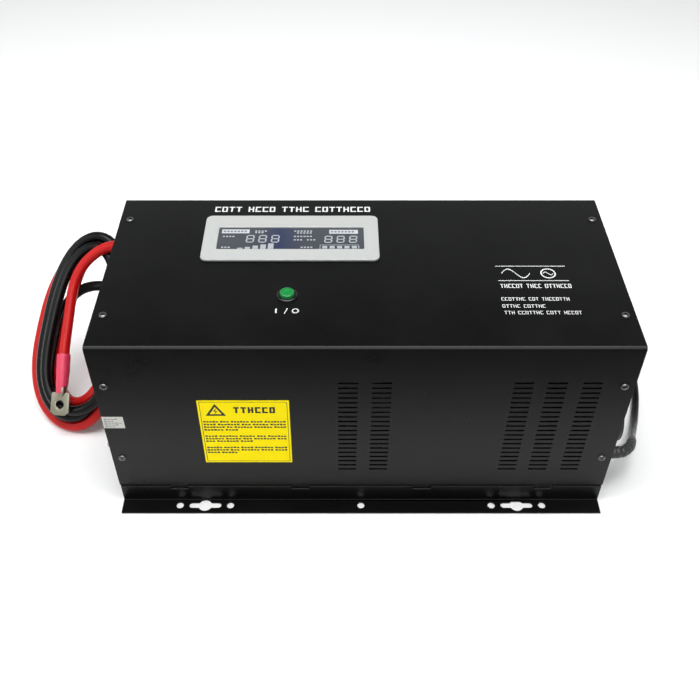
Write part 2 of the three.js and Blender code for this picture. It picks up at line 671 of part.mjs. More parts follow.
function fanGuardPlate() {
  const { y, z } = rightSide.fan;
  const { thickness, stand, bars, radii } = fanGuard;
  const front = panelFace + stand;
  const rings = radii.map((r) => {
    const shape = disc(y, z, r + bars / 2);
    shape.holes.push(new THREE.Path().absarc(y, z, r - bars / 2, 0, Math.PI * 2, true));
    return prism(shape, 'x', front - thickness, front, Math.round(3 + r / 6));
  });
  const reach = fan.pitchHole * Math.SQRT2 + 5;
  const arms = [0, 1].map((i) => {
    const arm = prism(centred(0, 0, 2 * reach, bars), 'x', front - thickness - 0.01, front - 0.01);
    return arm.rotateX(Math.PI / 4 + (i * Math.PI) / 2).translate(0, y, z);
  });
  const feet = [-1, 1].flatMap((a) => [-1, 1].map((b) =>
    rod('x', y + a * fan.pitchHole, z + b * fan.pitchHole, 4, panelFace, front, 10)));
  return join(...rings, ...arms, ...feet);
}
add('fan_frame', fanFrame(), blackPlastic);
add('fan_rotor', fanRotor(), blackPlastic);
add('fan_guard', fanGuardPlate(), zincSteel);

// ---- Mains outlets: round wells with two contact holes and earth clips ----
function mainsOutlet(y) {
  const { size, wellRadius, wellDepth, pinRadius, pinSpacing } = outlet;
  const z = outletZ;
  const back = panelFace + gap;
  const front = halfLength + endProud;
  const floor = front - wellDepth;
  const cheeks = [-1, 1].map((side) => {
    const middle = z + side * (wellRadius - 2);
    return block(floor - 1, front - 2.5, y - 3, y + 3, middle - 2.3, middle + 2.3);
  });
  const flange = prism(centred(y, z, size, size, 5), 'x', back, back + 3);
  const body = join(flange, rod('x', y, z, wellRadius + 2, floor - 14, front, 32));
  const pins = [-1, 1].map((side) =>
    rod('x', y + (side * pinSpacing) / 2, z, pinRadius, floor - 12, floor + 1, 12));
  const well = cut(rod('x', y, z, wellRadius, floor, front + 1, 32), ...cheeks);
  return cut(body, well, ...pins);
}
rightSide.outlets.forEach((y, i) => add(`outlet_${['front', 'rear'][i]}`, mainsOutlet(y), blackPlastic));

// ---- Resettable breaker: body behind the panel, nut and push button outside ----
function breakerBody() {
  const { y, z } = rightSide.breaker;
  const { bodySize, bodyDepth, nutRadius, nutHeight, buttonRadius } = breaker;
  const inside = panelFace - panelSheet - gap;
  return cut(
    join(
      prism(centred(y, z, bodySize, bodySize, 1), 'x', inside - bodyDepth, inside, 1),
      rod('x', y, z, nutRadius - 2, inside - 1, panelFace + nutHeight),
      prism(hexagon(y, z, nutRadius), 'x', panelFace + gap, panelFace + nutHeight - 0.6),
    ),
    rod('x', y, z, buttonRadius + gap, panelFace - breakerSocket, panelFace + nutHeight + 1),
  );
}
function breakerButton() {
  const { buttonRadius: r, nutHeight, buttonProud, travel } = breaker;
  const foot = travel + 1 - breakerSocket;
  const top = nutHeight + buttonProud - 0.5;
  const profile = [[0, foot], [r, foot], [r, top - 1], [r - 1, top], [0, top]];
  return turned(profile, 'x', [panelFace, rightSide.breaker.y, rightSide.breaker.z], 20);
}
add('breaker_body', breakerBody(), blackPlastic);
add('breaker_button', breakerButton(), blackPlastic);

// ---- Mains lead: gland, cord, the coil it is put away in behind the case, and its plug ----
function mainsGland() {
  const { y, radius, glandRadius, glandReach, hexRadius, hexLength } = mains;
  const bore = radius + 2 * gap;
  const domeRadius = hexRadius - 1;
  const dome = turned([
    [bore, -8], [glandRadius, -8], [glandRadius, 0], [domeRadius, 0], [domeRadius, glandReach - 3],
    [bore + 1.4, glandReach], [bore, glandReach], [bore, -8],
  ], 'x', [panelFace, y, mainsZ], 14);
  const flats = cut(
    prism(hexagon(y, mainsZ, hexRadius), 'x', panelFace, panelFace + hexLength),
    rod('x', y, mainsZ, bore, panelFace - 1, panelFace + hexLength + 1),
  );
  return join(dome, flats);
}
add('mains_gland', mainsGland(), blackPlastic);
// The mains cord's points are [distance out from the panel, y, z].
const mainsRoute = [
  [4, mains.y, mainsZ], [10, mains.y, mainsZ], [16, mains.y, mainsZ], [25, -77.5, 39], [34, -67, 36],
  [41, -50, 26], [50, -29, 14], [58, -9, 6.5], [64, 10, 4], [69, 30, 4], [72, 56, 4], [68, 86, 4],
  [55, 115, 4], [32, 136, 4], [2, 143, 4], [-24, 138, 4], [-47, 130, 4],
].map(([out, y, z]) => [panelFace + out, y, z]);
const mainsCoilX = panelFace - mainsCoil.fromPanel;
add('mains_cord', tube(mainsRoute, mains.radius, mains.sides, 19), blackRubber);
// The section of a ring with its corners taken off, between two radii and two heights.
function ringSection(inside, outside, height, corner) {
  return [
    [inside + corner, 0], [outside - corner, 0], [outside, corner], [outside, height - corner],
    [outside - corner, height], [inside + corner, height], [inside, height - corner], [inside, corner],
    [inside + corner, 0],
  ];
}
const cordRing = ringSection(
  mainsCoil.radius - mainsCoil.half, mainsCoil.radius + mainsCoil.half, 2 * mainsCoil.half, 3,
);
add('mains_coil', turned(cordRing, 'z', [mainsCoilX, mainsCoil.y, 0]), blackRubber);
const plugX = mainsCoilX - plug.fromCoil - plug.tail - plug.length;
function mainsPlug() {
  const { y, radius: z } = plug;
  const body = turned([
    [0, 0], [plug.tailRadius * 0.7, 0], [plug.tailRadius, plug.tail], [plug.radius * 0.8, plug.tail + 8],
    [plug.radius, plug.tail + 16], [plug.radius, plug.tail + plug.length], [0, plug.tail + plug.length],
  ], 'x', [plugX + plug.tail + plug.length, y, z], 28, -1);
  const pins = [-1, 1].map((side) => rod(
    'x', y + (side * plug.pinSpacing) / 2, z, plug.pinRadius, plugX - plug.pinLength, plugX + 1, 10));
  return join(body, ...pins);
}
add('mains_plug', mainsPlug(), blackPlastic);

// ---- Toroidal transformer, held down by a dished washer and a bolt ----
const toroidFloor = baseRise + gap;
const toroidTop = toroidFloor + toroid.height;
const toroidRing = ringSection(toroid.inner, toroid.outer, toroid.height, toroid.corner);
add('transformer_core', turned(toroidRing, 'z', [toroidX, 0, toroidFloor], 28), tapeYellow);
add('transformer_washer', cut(
  rod('z', toroidX, 0, toroidWasher.radius, toroidTop + gap, toroidTop + gap + toroidWasher.thickness, 32),
  rod('z', toroidX, 0, toroidBoltHole, 0, toroidTop + 10, 16),
), zincSteel);
const washerTop = toroidTop + gap + toroidWasher.thickness;
add('transformer_bolt', join(
  rod('z', toroidX, 0, toroid.boltRadius, baseRise - baseSheet - 6, washerTop + 5, 16),
  prism(hexagon(toroidX, 0, 7.5), 'z', washerTop + gap, washerTop + 6),
), zincSteel);

// ---- Power board with heat sinks and capacitors, and the busbars of the battery leads ----
const boardTop = baseRise + board.standoff + board.thickness;
const boardLeft = -halfLength + powerBoard.fromEnd;
const boardRight = toroidX - toroid.outer - powerBoard.fromToroid;
const boardHalf = powerBoard.width / 2;
function boardOnLegs(x0, x1, halfWidth) {
  const legs = [x0 + 6, x1 - 6].flatMap((x) => [-1, 1].map((side) =>
    rod('z', x, side * (halfWidth - 6), 3, baseRise, boardTop - board.thickness + 0.5, 10)));
  return join(block(x0, x1, -halfWidth, halfWidth, boardTop - board.thickness, boardTop), ...legs);
}
add('power_board', boardOnLegs(boardLeft, boardRight, boardHalf), circuitGreen);
function heatSinkBar(side) {
  const { fromBoardEnds, height, base, fin, fins, depth, fromEdge } = heatSink;
  const x0 = boardLeft + fromBoardEnds;
  const x1 = boardRight - fromBoardEnds;
  const z0 = boardTop + gap;
  const y = side * (boardHalf - fromEdge);
  const away = (d) => y - side * d;
  const slab = (d0, d1, low, high) => block(
    x0, x1, Math.min(away(d0), away(d1)), Math.max(away(d0), away(d1)), z0 + low, z0 + high);
  const spread = (height - fin) / (fins - 1);
  const bars = [slab(0, base, 0, height)];
  for (let i = 0; i < fins; i++) bars.push(slab(base - 1, depth, i * spread, i * spread + fin));
  return join(...bars);
}
add('heat_sink_front', heatSinkBar(-1), aluminium);
add('heat_sink_rear', heatSinkBar(1), aluminium);
capacitor.y.forEach((y, i) => add(`capacitor_${i + 1}`, turned([
  [0, 0], [capacitor.radius, 0], [capacitor.radius, capacitor.height - 1.5],
  [capacitor.radius - 1.5, capacitor.height], [0, capacitor.height],
], 'z', [boardRight - capacitor.fromEnd, y, boardTop + gap], 24), capSleeve));

// Each busbar stands on the board in line with its gland and holds the end of its lead.
function busbar(place) {
  const [, y, z] = place;
  const x = -panelFace + gland.inner + 14;
  const foot = block(x, x + 22, y - 8, y + 8, boardTop + gap, boardTop + gap + 3);
  const strap = block(x, x + 3, y - 8, y + 8, boardTop + gap, z + 9);
  return join(foot, strap, rod('x', y, z, lead.radius, -panelFace + gland.inner + 1, x + 1, 12));
}
add('positive_busbar', busbar(glandPlaces.red), copper);
add('negative_busbar', busbar(glandPlaces.black), copper);

// ---- Filter board beside the fan, with its relay and choke block ----
const relay = { fromLeft: 8, length: 30, y: -49, width: 22, height: 18 };
const choke = { fromLeft: 28, y: 20, radius: 13, height: 16 };
function filterCircuit() {
  const relayLeft = filterLeft + relay.fromLeft;
  const relayOutline = centred(relayLeft + relay.length / 2, relay.y, relay.length, relay.width);
  const foot = boardTop - 0.5; // both are sunk a little into the board so that all is one body
  return join(
    boardOnLegs(filterLeft, filterRight, filterBoard.width / 2),
    prism(relayOutline, 'z', foot, boardTop + relay.height),
    rod('z', filterLeft + choke.fromLeft, choke.y, choke.radius, foot, boardTop + choke.height, 20),
  );
}
add('filter_board', filterCircuit(), circuitGreen);

export default inverter;
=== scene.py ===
# A power inverter in a folded steel case: display and push button on the top, battery leads at
# the left end, mains sockets and a fan at the right end. Metres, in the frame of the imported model.
import math
import bmesh
import bpy
from mathutils import Matrix, Vector


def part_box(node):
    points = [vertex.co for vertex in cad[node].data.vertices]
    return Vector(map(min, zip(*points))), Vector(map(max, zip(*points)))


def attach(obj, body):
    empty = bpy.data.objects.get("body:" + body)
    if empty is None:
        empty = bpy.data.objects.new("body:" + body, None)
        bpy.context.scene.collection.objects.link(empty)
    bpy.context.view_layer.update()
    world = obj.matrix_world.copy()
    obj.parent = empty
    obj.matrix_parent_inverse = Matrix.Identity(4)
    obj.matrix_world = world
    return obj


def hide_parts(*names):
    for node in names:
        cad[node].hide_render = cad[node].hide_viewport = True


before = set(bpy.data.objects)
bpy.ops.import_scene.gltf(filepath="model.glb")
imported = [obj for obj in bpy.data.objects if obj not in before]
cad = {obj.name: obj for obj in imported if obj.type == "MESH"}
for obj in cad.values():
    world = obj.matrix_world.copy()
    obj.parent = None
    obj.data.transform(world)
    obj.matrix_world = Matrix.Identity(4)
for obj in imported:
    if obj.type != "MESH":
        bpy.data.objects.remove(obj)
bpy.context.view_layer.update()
scene = bpy.context.scene

# ---- Studio: white table top, one large softbox overhead, and a pale wall behind ----
# Seamless white paper, matt. The camera looks down on the front and top of the case.


def srgb(code):
    """A colour written as an sRGB hex value, in the linear values that shaders take."""
    parts = [int(code[i:i + 2], 16) / 255 for i in (1, 3, 5)]
    return (*[p / 12.92 if p <= 0.04045 else ((p + 0.055) / 1.055) ** 2.4 for p in parts], 1.0)


def add_node(material, kind, settings=None, **links):
    """Adds a node. Settings are its own properties; a link is an input's value or another node's output."""
    made = material.node_tree.nodes.new(kind)
    for name, value in (settings or {}).items():
        setattr(made, name, value)
    for name, value in links.items():
        key = int(name[1:]) if name[0] == "i" and name[1:].isdigit() else name.replace("_", " ")
        if isinstance(value, bpy.types.NodeSocket):
            material.node_tree.links.new(value, made.inputs[key])
        else:
            made.inputs[key].default_value = value
    return made


def new_material(name, colour, roughness, metallic=0.0, ior=1.5):
    """A material with its surface shader, which later nodes are joined to."""
    material = bpy.data.materials.new(name)
    material.use_nodes = True
    surface = material.node_tree.nodes["Principled BSDF"]
    surface.inputs["Base Color"].default_value = srgb(colour)
    surface.inputs["Roughness"].default_value = roughness
    surface.inputs["Metallic"].default_value = metallic
    if not metallic:
        surface.inputs["IOR"].default_value = ior
    return material, surface


def join(material, output, surface, socket):
    material.node_tree.links.new(output, surface.inputs[socket])


def object_place(material):
    return add_node(material, "ShaderNodeTexCoord").outputs["Object"]


def noise(material, scale, detail, **more):
    """The value of a cloudy noise, with its scale per metre."""
    return add_node(material, "ShaderNodeTexNoise", Scale=scale, Detail=detail, **more).outputs["Fac"]


def tinted(material, surface, value, low, high):
    """Lets the colour go from one tone to another with a value. Each tone is its level and its hex colour."""
    tone = add_node(material, "ShaderNodeValToRGB", Fac=value)
    for stop, (level, colour) in zip(tone.color_ramp.elements, (low, high)):
        stop.position = level
        stop.color = srgb(colour)
    join(material, tone.outputs["Color"], surface, "Base Color")
    return tone


def eased_share(material, value, start, end, most=1.0):
    """A share that eases from nothing to its most as a value goes from start to end."""
    settings = {"interpolation_type": "SMOOTHSTEP"}
    return add_node(material, "ShaderNodeMapRange", settings, Value=value, i1=start, i2=end, i3=0.0,
                    i4=most).outputs[0]


def sheened(material, surface, value, smooth, rough, low=0.3, high=0.7):
    """Lets the roughness go between two values as a noise goes from low to high."""
    sheen = add_node(material, "ShaderNodeMapRange", Value=value, i1=low, i2=high, i3=smooth, i4=rough)
    join(material, sheen.outputs[0], surface, "Roughness")


def bumped(material, surface, value, strength, depth):
    """Raises a relief from a noise, with its depth in metres."""
    bump = add_node(material, "ShaderNodeBump", Strength=strength, Distance=depth, Height=value)
    join(material, bump.outputs["Normal"], surface, "Normal")


def textured(name, colour, roughness, scale, detail, tint=None, sheen=None, relief=None, **more):
    """A material whose tone, sheen and relief follow one cloudy noise."""
    material, surface = new_material(name, colour, roughness, **more)
    cloud = noise(material, scale, detail)
    if tint:
        tinted(material, surface, cloud, *tint)
    if sheen:
        sheened(material, surface, cloud, *sheen)
    if relief:
        bumped(material, surface, cloud, *relief)
    return material


def placed(name, data):
    """An object of the scene made from its data."""
    made = bpy.data.objects.new(name, data)
    scene.collection.objects.link(made)
    return made


table_top = bpy.data.meshes.new("table_top")
table_half = 6.0
corners = [(x * table_half, y * table_half, 0) for x, y in ((-1, -1), (1, -1), (1, 1), (-1, 1))]
table_top.from_pydata(corners, [], [(0, 1, 2, 3)])
table = placed("table", table_top)
paper = textured("white_paper", "#fcfcfc", 0.9, 900.0, 2.0, relief=(0.03, 0.0004))
table_top.materials.append(paper)


def add_lamp(name, size, power, place, aim):
    data = bpy.data.lights.new(name, "AREA")
    data.shape = "RECTANGLE"
    data.size, data.size_y = size
    data.energy = power
    lamp = placed(name, data)
    lamp.location = place
    lamp.rotation_euler = (Vector(aim) - Vector(place)).to_track_quat("-Z", "Y").to_euler()
    return lamp


add_lamp("overhead_softbox", (1.9, 0.8), 35, (0, -0.1, 1.6), (0, 0, 0))
# A strip in front is seen only as a reflection, as the line of light along the cover's front bend.
strip = add_lamp("bend_strip", (1.8, 1.1), 26, (0, -1.0, 1.3), (0, -0.1, 0.2))
strip.visible_diffuse = False
add_lamp("left_softbox", (0.9, 0.9), 6, (-1.6, -0.3, 1.2), (-0.1, 0, 0.1))

# A black card lies in front of the case for its reflection only, and dims the upper front face.
flag_mesh = bpy.data.meshes.new("reflection_flag")
flag_half, flag_front, flag_back, flag_height = 1.2, -1.1, -0.12, 0.0004
flag_corners = ((-flag_half, flag_front), (flag_half, flag_front), (flag_half, flag_back),
                (-flag_half, flag_back))
flag_mesh.from_pydata([(x, y, flag_height) for x, y in flag_corners], [], [(0, 1, 2, 3)])
flag = placed("reflection_flag", flag_mesh)
flag_black, flag_surface = new_material("black_flag_card", "#050505", 0.9)
flag_place = add_node(flag_black, "ShaderNodeSeparateXYZ", Vector=object_place(flag_black))
join(flag_black, eased_share(flag_black, flag_place.outputs["Y"], -0.17, -0.31, 0.9), flag_surface, "Alpha")
flag_mesh.materials.append(flag_black)
flag.visible_camera = flag.visible_diffuse = flag.visible_shadow = flag.visible_transmission = False

sky = bpy.data.worlds.new("studio")
sky.use_nodes = True
scene.world = sky
direction = add_node(sky, "ShaderNodeTexCoord")
height = add_node(sky, "ShaderNodeSeparateXYZ", Vector=direction.outputs["Generated"])
fade = add_node(sky, "ShaderNodeValToRGB", Fac=height.outputs["Z"])
fade.color_ramp.elements[0].position = 0.50
fade.color_ramp.elements[0].color = srgb("#eceeef")
fade.color_ramp.elements[1].position = 0.72
fade.color_ramp.elements[1].color = srgb("#3c3d3e")
backdrop = sky.node_tree.nodes["Background"]
sky.node_tree.links.new(fade.outputs["Color"], backdrop.inputs["Color"])
backdrop.inputs["Strength"].default_value = 0.95
scene.view_settings.view_transform = "Standard"

camera_data = bpy.data.cameras.new("camera")
camera_data.sensor_width = 36.0
camera_data.lens = 45.6
camera_data.shift_x = 0.0172
camera_data.clip_end = 50.0
camera = placed("camera", camera_data)
camera.location = (-0.02185, -0.61854, 0.69351)
camera.rotation_euler = (math.radians(46.06), 0, 0)
scene.camera = camera

# ---- Battery leads: fine-strand welding cable, 10.5 mm over a soft PVC jacket ----
# One red and one black, each 1.15 m, wound by hand into one loose upright coil that leans
# on the left end. The red end shows in front: pink heat-shrink and a tinned ring lug.
MM = 0.001
lead_diameter = 10.5 * MM
lead_steps = 125
left_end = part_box("left_panel")[0].x

coil_centre = Vector((left_end - 55 * MM, 48 * MM, 78 * MM))
coil_face = Vector((-0.215, -0.703, 0.677)).normalized()
coil_left = coil_face.cross(Vector((0.111, 0.672, 0.732))).normalized()
coil_along = coil_left.cross(coil_face)
coil_oval = {"along": 98, "left": 48, "right": 38, "shift": -3, "lean": -5, "fullness": 0.25}


def in_coil(along, left, lift):
    """A point given along the coil, to its left and out of its face, in millimetres."""
    return coil_centre + (coil_along * along + coil_left * left + coil_face * lift) * MM


def on_turn(degrees, inset, lift):
    """A point of a turn, by its angle from the coil's top towards the left."""
    c, s = math.cos(math.radians(degrees)), math.sin(math.radians(degrees))
    reach = coil_oval["left"] if s > 0 else coil_oval["right"]
    full = 1 + coil_oval["fullness"] * max(0, -c)
    return in_coil((coil_oval["along"] - inset) * c, coil_oval["shift"] + coil_oval["lean"] * c
                   + (reach - inset) * s * full, lift)


def wind(stations, step=22.5):
    """Points along turns that pass through stations of (angle, inset, lift)."""
    points = []
    for (a0, i0, l0), (a1, i1, l1) in zip(stations, stations[1:]):
        count = max(1, round((a1 - a0) / step))
        for k in range(count):
            t = k / count
            ease = t * t * (3 - 2 * t)
            points.append(on_turn(a0 + (a1 - a0) * t, i0 + (i1 - i0) * ease, l0 + (l1 - l0) * ease))
    return points + [on_turn(*stations[-1])]


def resampled(points, count):
    """Evenly spaced points on a smooth curve through a few points."""
    dense = []
    padded = [2 * points[0] - points[1], *points, 2 * points[-1] - points[-2]]
    for p0, p1, p2, p3 in zip(padded, padded[1:], padded[2:], padded[3:]):
        for k in range(12):
            t = k / 12
            dense.append(0.5 * ((2 * p1) + (p2 - p0) * t + (2 * p0 - 5 * p1 + 4 * p2 - p3) * t * t
                                + (3 * p1 - p0 - 3 * p2 + p3) * t ** 3))
    dense.append(points[-1])
    run = [0.0]
    for a, b in zip(dense, dense[1:]):
        run.append(run[-1] + (b - a).length)
    found, j = [], 0
    for k in range(count):
        want = run[-1] * k / (count - 1)
        while j < len(run) - 2 and run[j + 1] < want:
            j += 1
        share = (want - run[j]) / max(run[j + 1] - run[j], 1e-9)
        found.append(dense[j].lerp(dense[j + 1], min(1.0, share)))
    return found


def eased(points, count, passes=30, held_start=2, held_end=3):
    """The same route in even steps with its bends evened out, as a thick cable cannot kink."""
    route = resampled(points, count)
    for share in (0.5, -0.52) * passes:
        route = [q if i < held_start or i >= len(route) - held_end else q
                 + ((route[i - 1] + route[i + 1]) / 2 - q) * share
                 for i, q in enumerate(route)]
    return route


def cord_curve(name, points, diameter):
    """A round cord along one open, smooth spline."""
    data = bpy.data.curves.new(name, "CURVE")
    data.dimensions = "3D"
    data.bevel_depth = diameter / 2
    data.bevel_resolution = 7
    data.resolution_u = 6
    data.use_fill_caps = True
    spline = data.splines.new("BEZIER")
    spline.bezier_points.add(len(points) - 1)
    for bezier, point in zip(spline.bezier_points, points):
        bezier.co = point
        bezier.handle_left_type = bezier.handle_right_type = "AUTO"
    return placed(name, data)


def jacket_material(name, colour, roughness, dust, ior):
    """Soft PVC: satin, with faint extrusion flow along it and dust and handling marks in patches."""
    material, surface = new_material(name, colour, roughness, ior=ior)
    place = object_place(material)
    blotch = noise(material, 45.0, 4.0, Vector=place, Roughness=0.6)
    tinted(material, surface, blotch, (0.0, colour), (1.0, dust))
    sheened(material, surface, blotch, roughness - 0.07, roughness + 0.1)
    grain = noise(material, 1400.0, 1.0, Vector=place)
    bumped(material, surface, grain, 0.12, 0.0002)
    return material


# Battery leads carry a soft jacket in signal red and in black.
red_jacket = jacket_material("red_pvc_jacket", "#b00c0c", 0.34, "#bd1511", 1.3)
black_jacket = jacket_material("black_pvc_jacket", "#040405", 0.26, "#090a0b", 1.27)


def middle(node):
    """The middle of a node's box."""
    return [(low + high) / 2 for low, high in zip(*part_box(node))]


red_y, red_z = middle("red_gland")[1:]
black_y, black_z = middle("black_gland")[1:]


def from_panel(out, y, z):
    """A point out from the left end panel, in millimetres."""
    return Vector((left_end - out * MM, y * MM, z * MM))


red_route = [
    Vector((left_end - 9 * MM, red_y, red_z)), Vector((left_end - 18 * MM, red_y, red_z)),
    from_panel(25.5, 45.8, 48.6), from_panel(32, 49.2, 52.8), from_panel(36, 54.8, 60.5),
    from_panel(36, 61, 70.5), from_panel(32.5, 66.5, 81), in_coil(46, -30, -10.5), in_coil(64, -31, -9.5),
    in_coil(77, -26, -8.5), in_coil(84.5, -17.5, -7.5),
] + wind([
    (0, 12.5, -7), (90, 20, -7), (150, 21, -2), (180, 24, 1), (225, 16, 0), (270, 9, -6), (360, 2, -9),
    (450, -6, -6), (540, 0, 0), (630, -2, 12), (650, -3, 12.5),
]) + [in_coil(*p) for p in (
    (52, -50, 13), (67, -52.5, 13.2), (79, -50.5, 13.4), (87, -44, 13.6), (90, -35.5, 13.7),
    (87.5, -26, 13.7), (82, -17, 13.6), (76, -8, 13.4), (69, -0.3, 13.1), (60, 5.8, 12.6), (48.5, 9.6, 12),
    (37, 11.3, 11.8), (25, 12, 11.8), (12, 12, 12.2), (0, 12, 13.4), (-12, 12, 15), (-26, 11, 16.8),
    (-42, 8.8, 18.6), (-56, 7.8, 20))]
black_route = [
    Vector((left_end - 9 * MM, black_y, black_z)), Vector((left_end - 18 * MM, black_y, black_z)),
    Vector((left_end - 27 * MM, black_y, black_z)), from_panel(37, 88, 100.5), in_coil(50, 1, -15),
    in_coil(43, 13, -15), in_coil(33, 23, -13),
] + wind([
    (73, 12, -10), (135, 10, -6), (180, 12, -5), (270, 0, 0), (360, 0, 2), (450, 5, 4), (540, 9, 6),
    (630, 7, 7), (720, 10, 6), (810, 14, 10), (900, 17, 13),
]) + [in_coil(*p) for p in (
    (-74, -20, 14.5), (-62, -32, 16.5), (-49, -37, 18), (-36, -38.5, 20), (-22, -39, 21), (-8, -39.4, 21.3),
    (6, -39, 21.8))]
red_lead = cord_curve("red_lead_cable", eased(red_route, lead_steps), lead_diameter)
red_lead.data.materials.append(red_jacket)
black_lead = cord_curve("black_lead_cable", eased(black_route, lead_steps, passes=60), lead_diameter)
black_lead.data.materials.append(black_jacket)


def add_piece(name, bm, material, body="case", smooth_below=35):
    """Turns a bmesh into a piece that rides on a body, smooth wherever its faces meet gently."""
    bmesh.ops.recalc_face_normals(bm, faces=bm.faces)
    mesh = bpy.data.meshes.new(name)
    bm.to_mesh(mesh)
    bm.free()
    mesh.polygons.foreach_set("use_smooth", [True] * len(mesh.polygons))
    mesh.set_sharp_from_angle(angle=math.radians(smooth_below))
    mesh.materials.append(material)
    made = placed(name, mesh)
    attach(made, body)
    return made


def skin(bm, rings):
    """Joins rings of points into one closed tube."""
    for low, high in zip(rings, rings[1:]):
        for k in range(len(low)):
            after = (k + 1) % len(low)
            bm.faces.new((low[k], low[after], high[after], high[k]))
    bm.faces.new(rings[0][::-1])
    bm.faces.new(rings[-1])


def sweep(bm, path, radii, sides=28, flat=1.0):
    """Adds a closed tube along a path, with its own radius at each point."""
    rings, normal = [], None
    for i, (point, radius) in enumerate(zip(path, radii)):
        ahead = (path[min(i + 1, len(path) - 1)] - path[max(i - 1, 0)]).normalized()
        normal = ahead.orthogonal() if normal is None else normal - ahead * normal.dot(ahead)
        normal.normalize()
        across = ahead.cross(normal)
        ring = []
        for k in range(sides):
            a = 2 * math.pi * k / sides
            ring.append(bm.verts.new(point + (normal * math.cos(a) + across * math.sin(a) * flat) * radius))
        rings.append(ring)
    skin(bm, rings)


def heat_shrink(name, points, colour, highlight):
    """Polyolefin sleeve: a thin satin skin on the cable that necks in over the barrel, with a rolled end."""
    material, surface = new_material(name + "_polyolefin", colour, 0.36, ior=1.4)
    surface.inputs["Subsurface Weight"].default_value = 0.08
    surface.inputs["Subsurface Scale"].default_value = 0.002
    ripple = noise(material, 260.0, 2.0)
    tinted(material, surface, ripple, (0.3, colour), (0.75, highlight))
    bumped(material, surface, ripple, 0.25, 0.0004)
    path = resampled(points, 40)
    radii = []
    for k in range(40):
        t = k / 39
        body = 6.7 - 1.3 * max(0, (t - 0.45) / 0.55) + 0.07 * math.sin(t * 19)
        mouth = -0.35 * max(0, 1 - t * 18) - 0.4 * max(0, (t - 0.94) / 0.06)
        radii.append((body + mouth) * MM)
    bm = bmesh.new()
    sweep(bm, path, radii)
    return add_piece(name, bm, material)


red_shrink = heat_shrink(
    "red_lead_shrink", [in_coil(*p) for p in ((-25, 11, 16.8), (-38, 9.4, 18.3), (-50, 8.1, 19.6),
                                              (-64, 7.3, 20.7))], "#cf2c4c", "#dc4766")
black_shrink = heat_shrink(
    "black_lead_shrink", [in_coil(*p) for p in ((-22, -39, 21), (-8, -39.4, 21.3), (4, -39, 21.7),
                                                (14, -38.4, 22))], "#131314", "#1d1e20")

# Tin plate dulls to a warm grey in patches and keeps fine press marks.
tin = textured("tin_plated_copper", "#8d8978", 0.36, 320.0, 5.0, tint=((0.35, "#6c695a"), (0.65, "#a5a190")),
               relief=(0.2, 0.0003), metallic=1.0)


def circle(x, y, radius, count=40):
    return [(x + radius * math.cos(2 * math.pi * k / count), y + radius * math.sin(2 * math.pi * k / count))
            for k in range(count)]


def lifted(matrix, height):
    """The same plane, so many millimetres higher."""
    return matrix @ Matrix.Translation((0, 0, height * MM))


def baked(made):
    """The finished mesh of an object that was only needed to make it."""
    bpy.context.view_layer.update()
    mesh = bpy.data.meshes.new_from_object(made.evaluated_get(bpy.context.evaluated_depsgraph_get()))
    bpy.data.objects.remove(made)
    return mesh


def cut_sheet(name, loops, depth, edge, matrix, material, body="case"):
    """A flat piece with rounded edges, cut to outlines in millimetres, standing on the matrix's plane."""
    data = bpy.data.curves.new(name + "_outline", "CURVE")
    data.dimensions = "2D"
    data.fill_mode = "BOTH"
    data.extrude = max(depth / 2 - edge, 0) * MM
    data.bevel_depth = edge * MM
    data.bevel_resolution = 2
    data.offset = -edge * MM
    for loop in loops:
        spline = data.splines.new("POLY")
        spline.points.add(len(loop) - 1)
        for point, (x, y) in zip(spline.points, loop):
            point.co = (x * MM, y * MM, 0, 1)
        spline.use_cyclic_u = True
    outline = placed(name + "_outline", data)
    mesh = baked(outline)
    bm = bmesh.new()
    bm.from_mesh(mesh)
    bpy.data.meshes.remove(mesh)
    bmesh.ops.remove_doubles(bm, verts=bm.verts, dist=0.002 * MM)
    bm.transform(lifted(matrix, depth / 2))
    return add_piece(name, bm, material, body)


def ring_lug(name, barrel_start, towards):
    """A pressed ring lug: a tube flattened into a palm with clipped corners and a bolt hole."""
    along = (towards - barrel_start).normalized()
    across = coil_face.cross(along).normalized()
    up = along.cross(across)
    matrix = Matrix((along, across, up)).transposed().to_4x4()
    matrix.translation = barrel_start
    outline = [(-2.8, -8.8), (-1.6, -9.8), (16.5, -10.1), (20.2, -5.6), (20.2, 5.6), (16.5, 10.1),
               (-1.6, 9.8), (-2.8, 8.8)]
    palm = cut_sheet(name + "_palm", [outline, circle(9.3, 0, 4.3)], 2.9, 0.45, lifted(matrix, -1.45), tin)
    bm = bmesh.new()
    path = [barrel_start + along * d * MM for d in (-9, -7, -4, -2, 0, 2)]
    sweep(bm, path, [r * MM for r in (5.0, 5.1, 5.0, 4.5, 3.4, 1.8)], flat=1.15)
    barrel = add_piece(name + "_barrel", bm, tin)
    return palm, barrel


red_lug = ring_lug("red_lug", in_coil(-66, 7.2, 20.7), in_coil(-76, 6.7, 21))
black_lug = ring_lug("black_lug", in_coil(18, -38.2, 22.2), in_coil(28, -37.5, 22.5))

# Injection-moulded nylon: a sparked tool leaves an even fine grain, so its shine is broad and weak.
nylon = textured("moulded_black_nylon", "#131415", 0.46, 1100.0, 2.0, sheen=(0.4, 0.52),
                 relief=(0.15, 0.0002), ior=1.53)


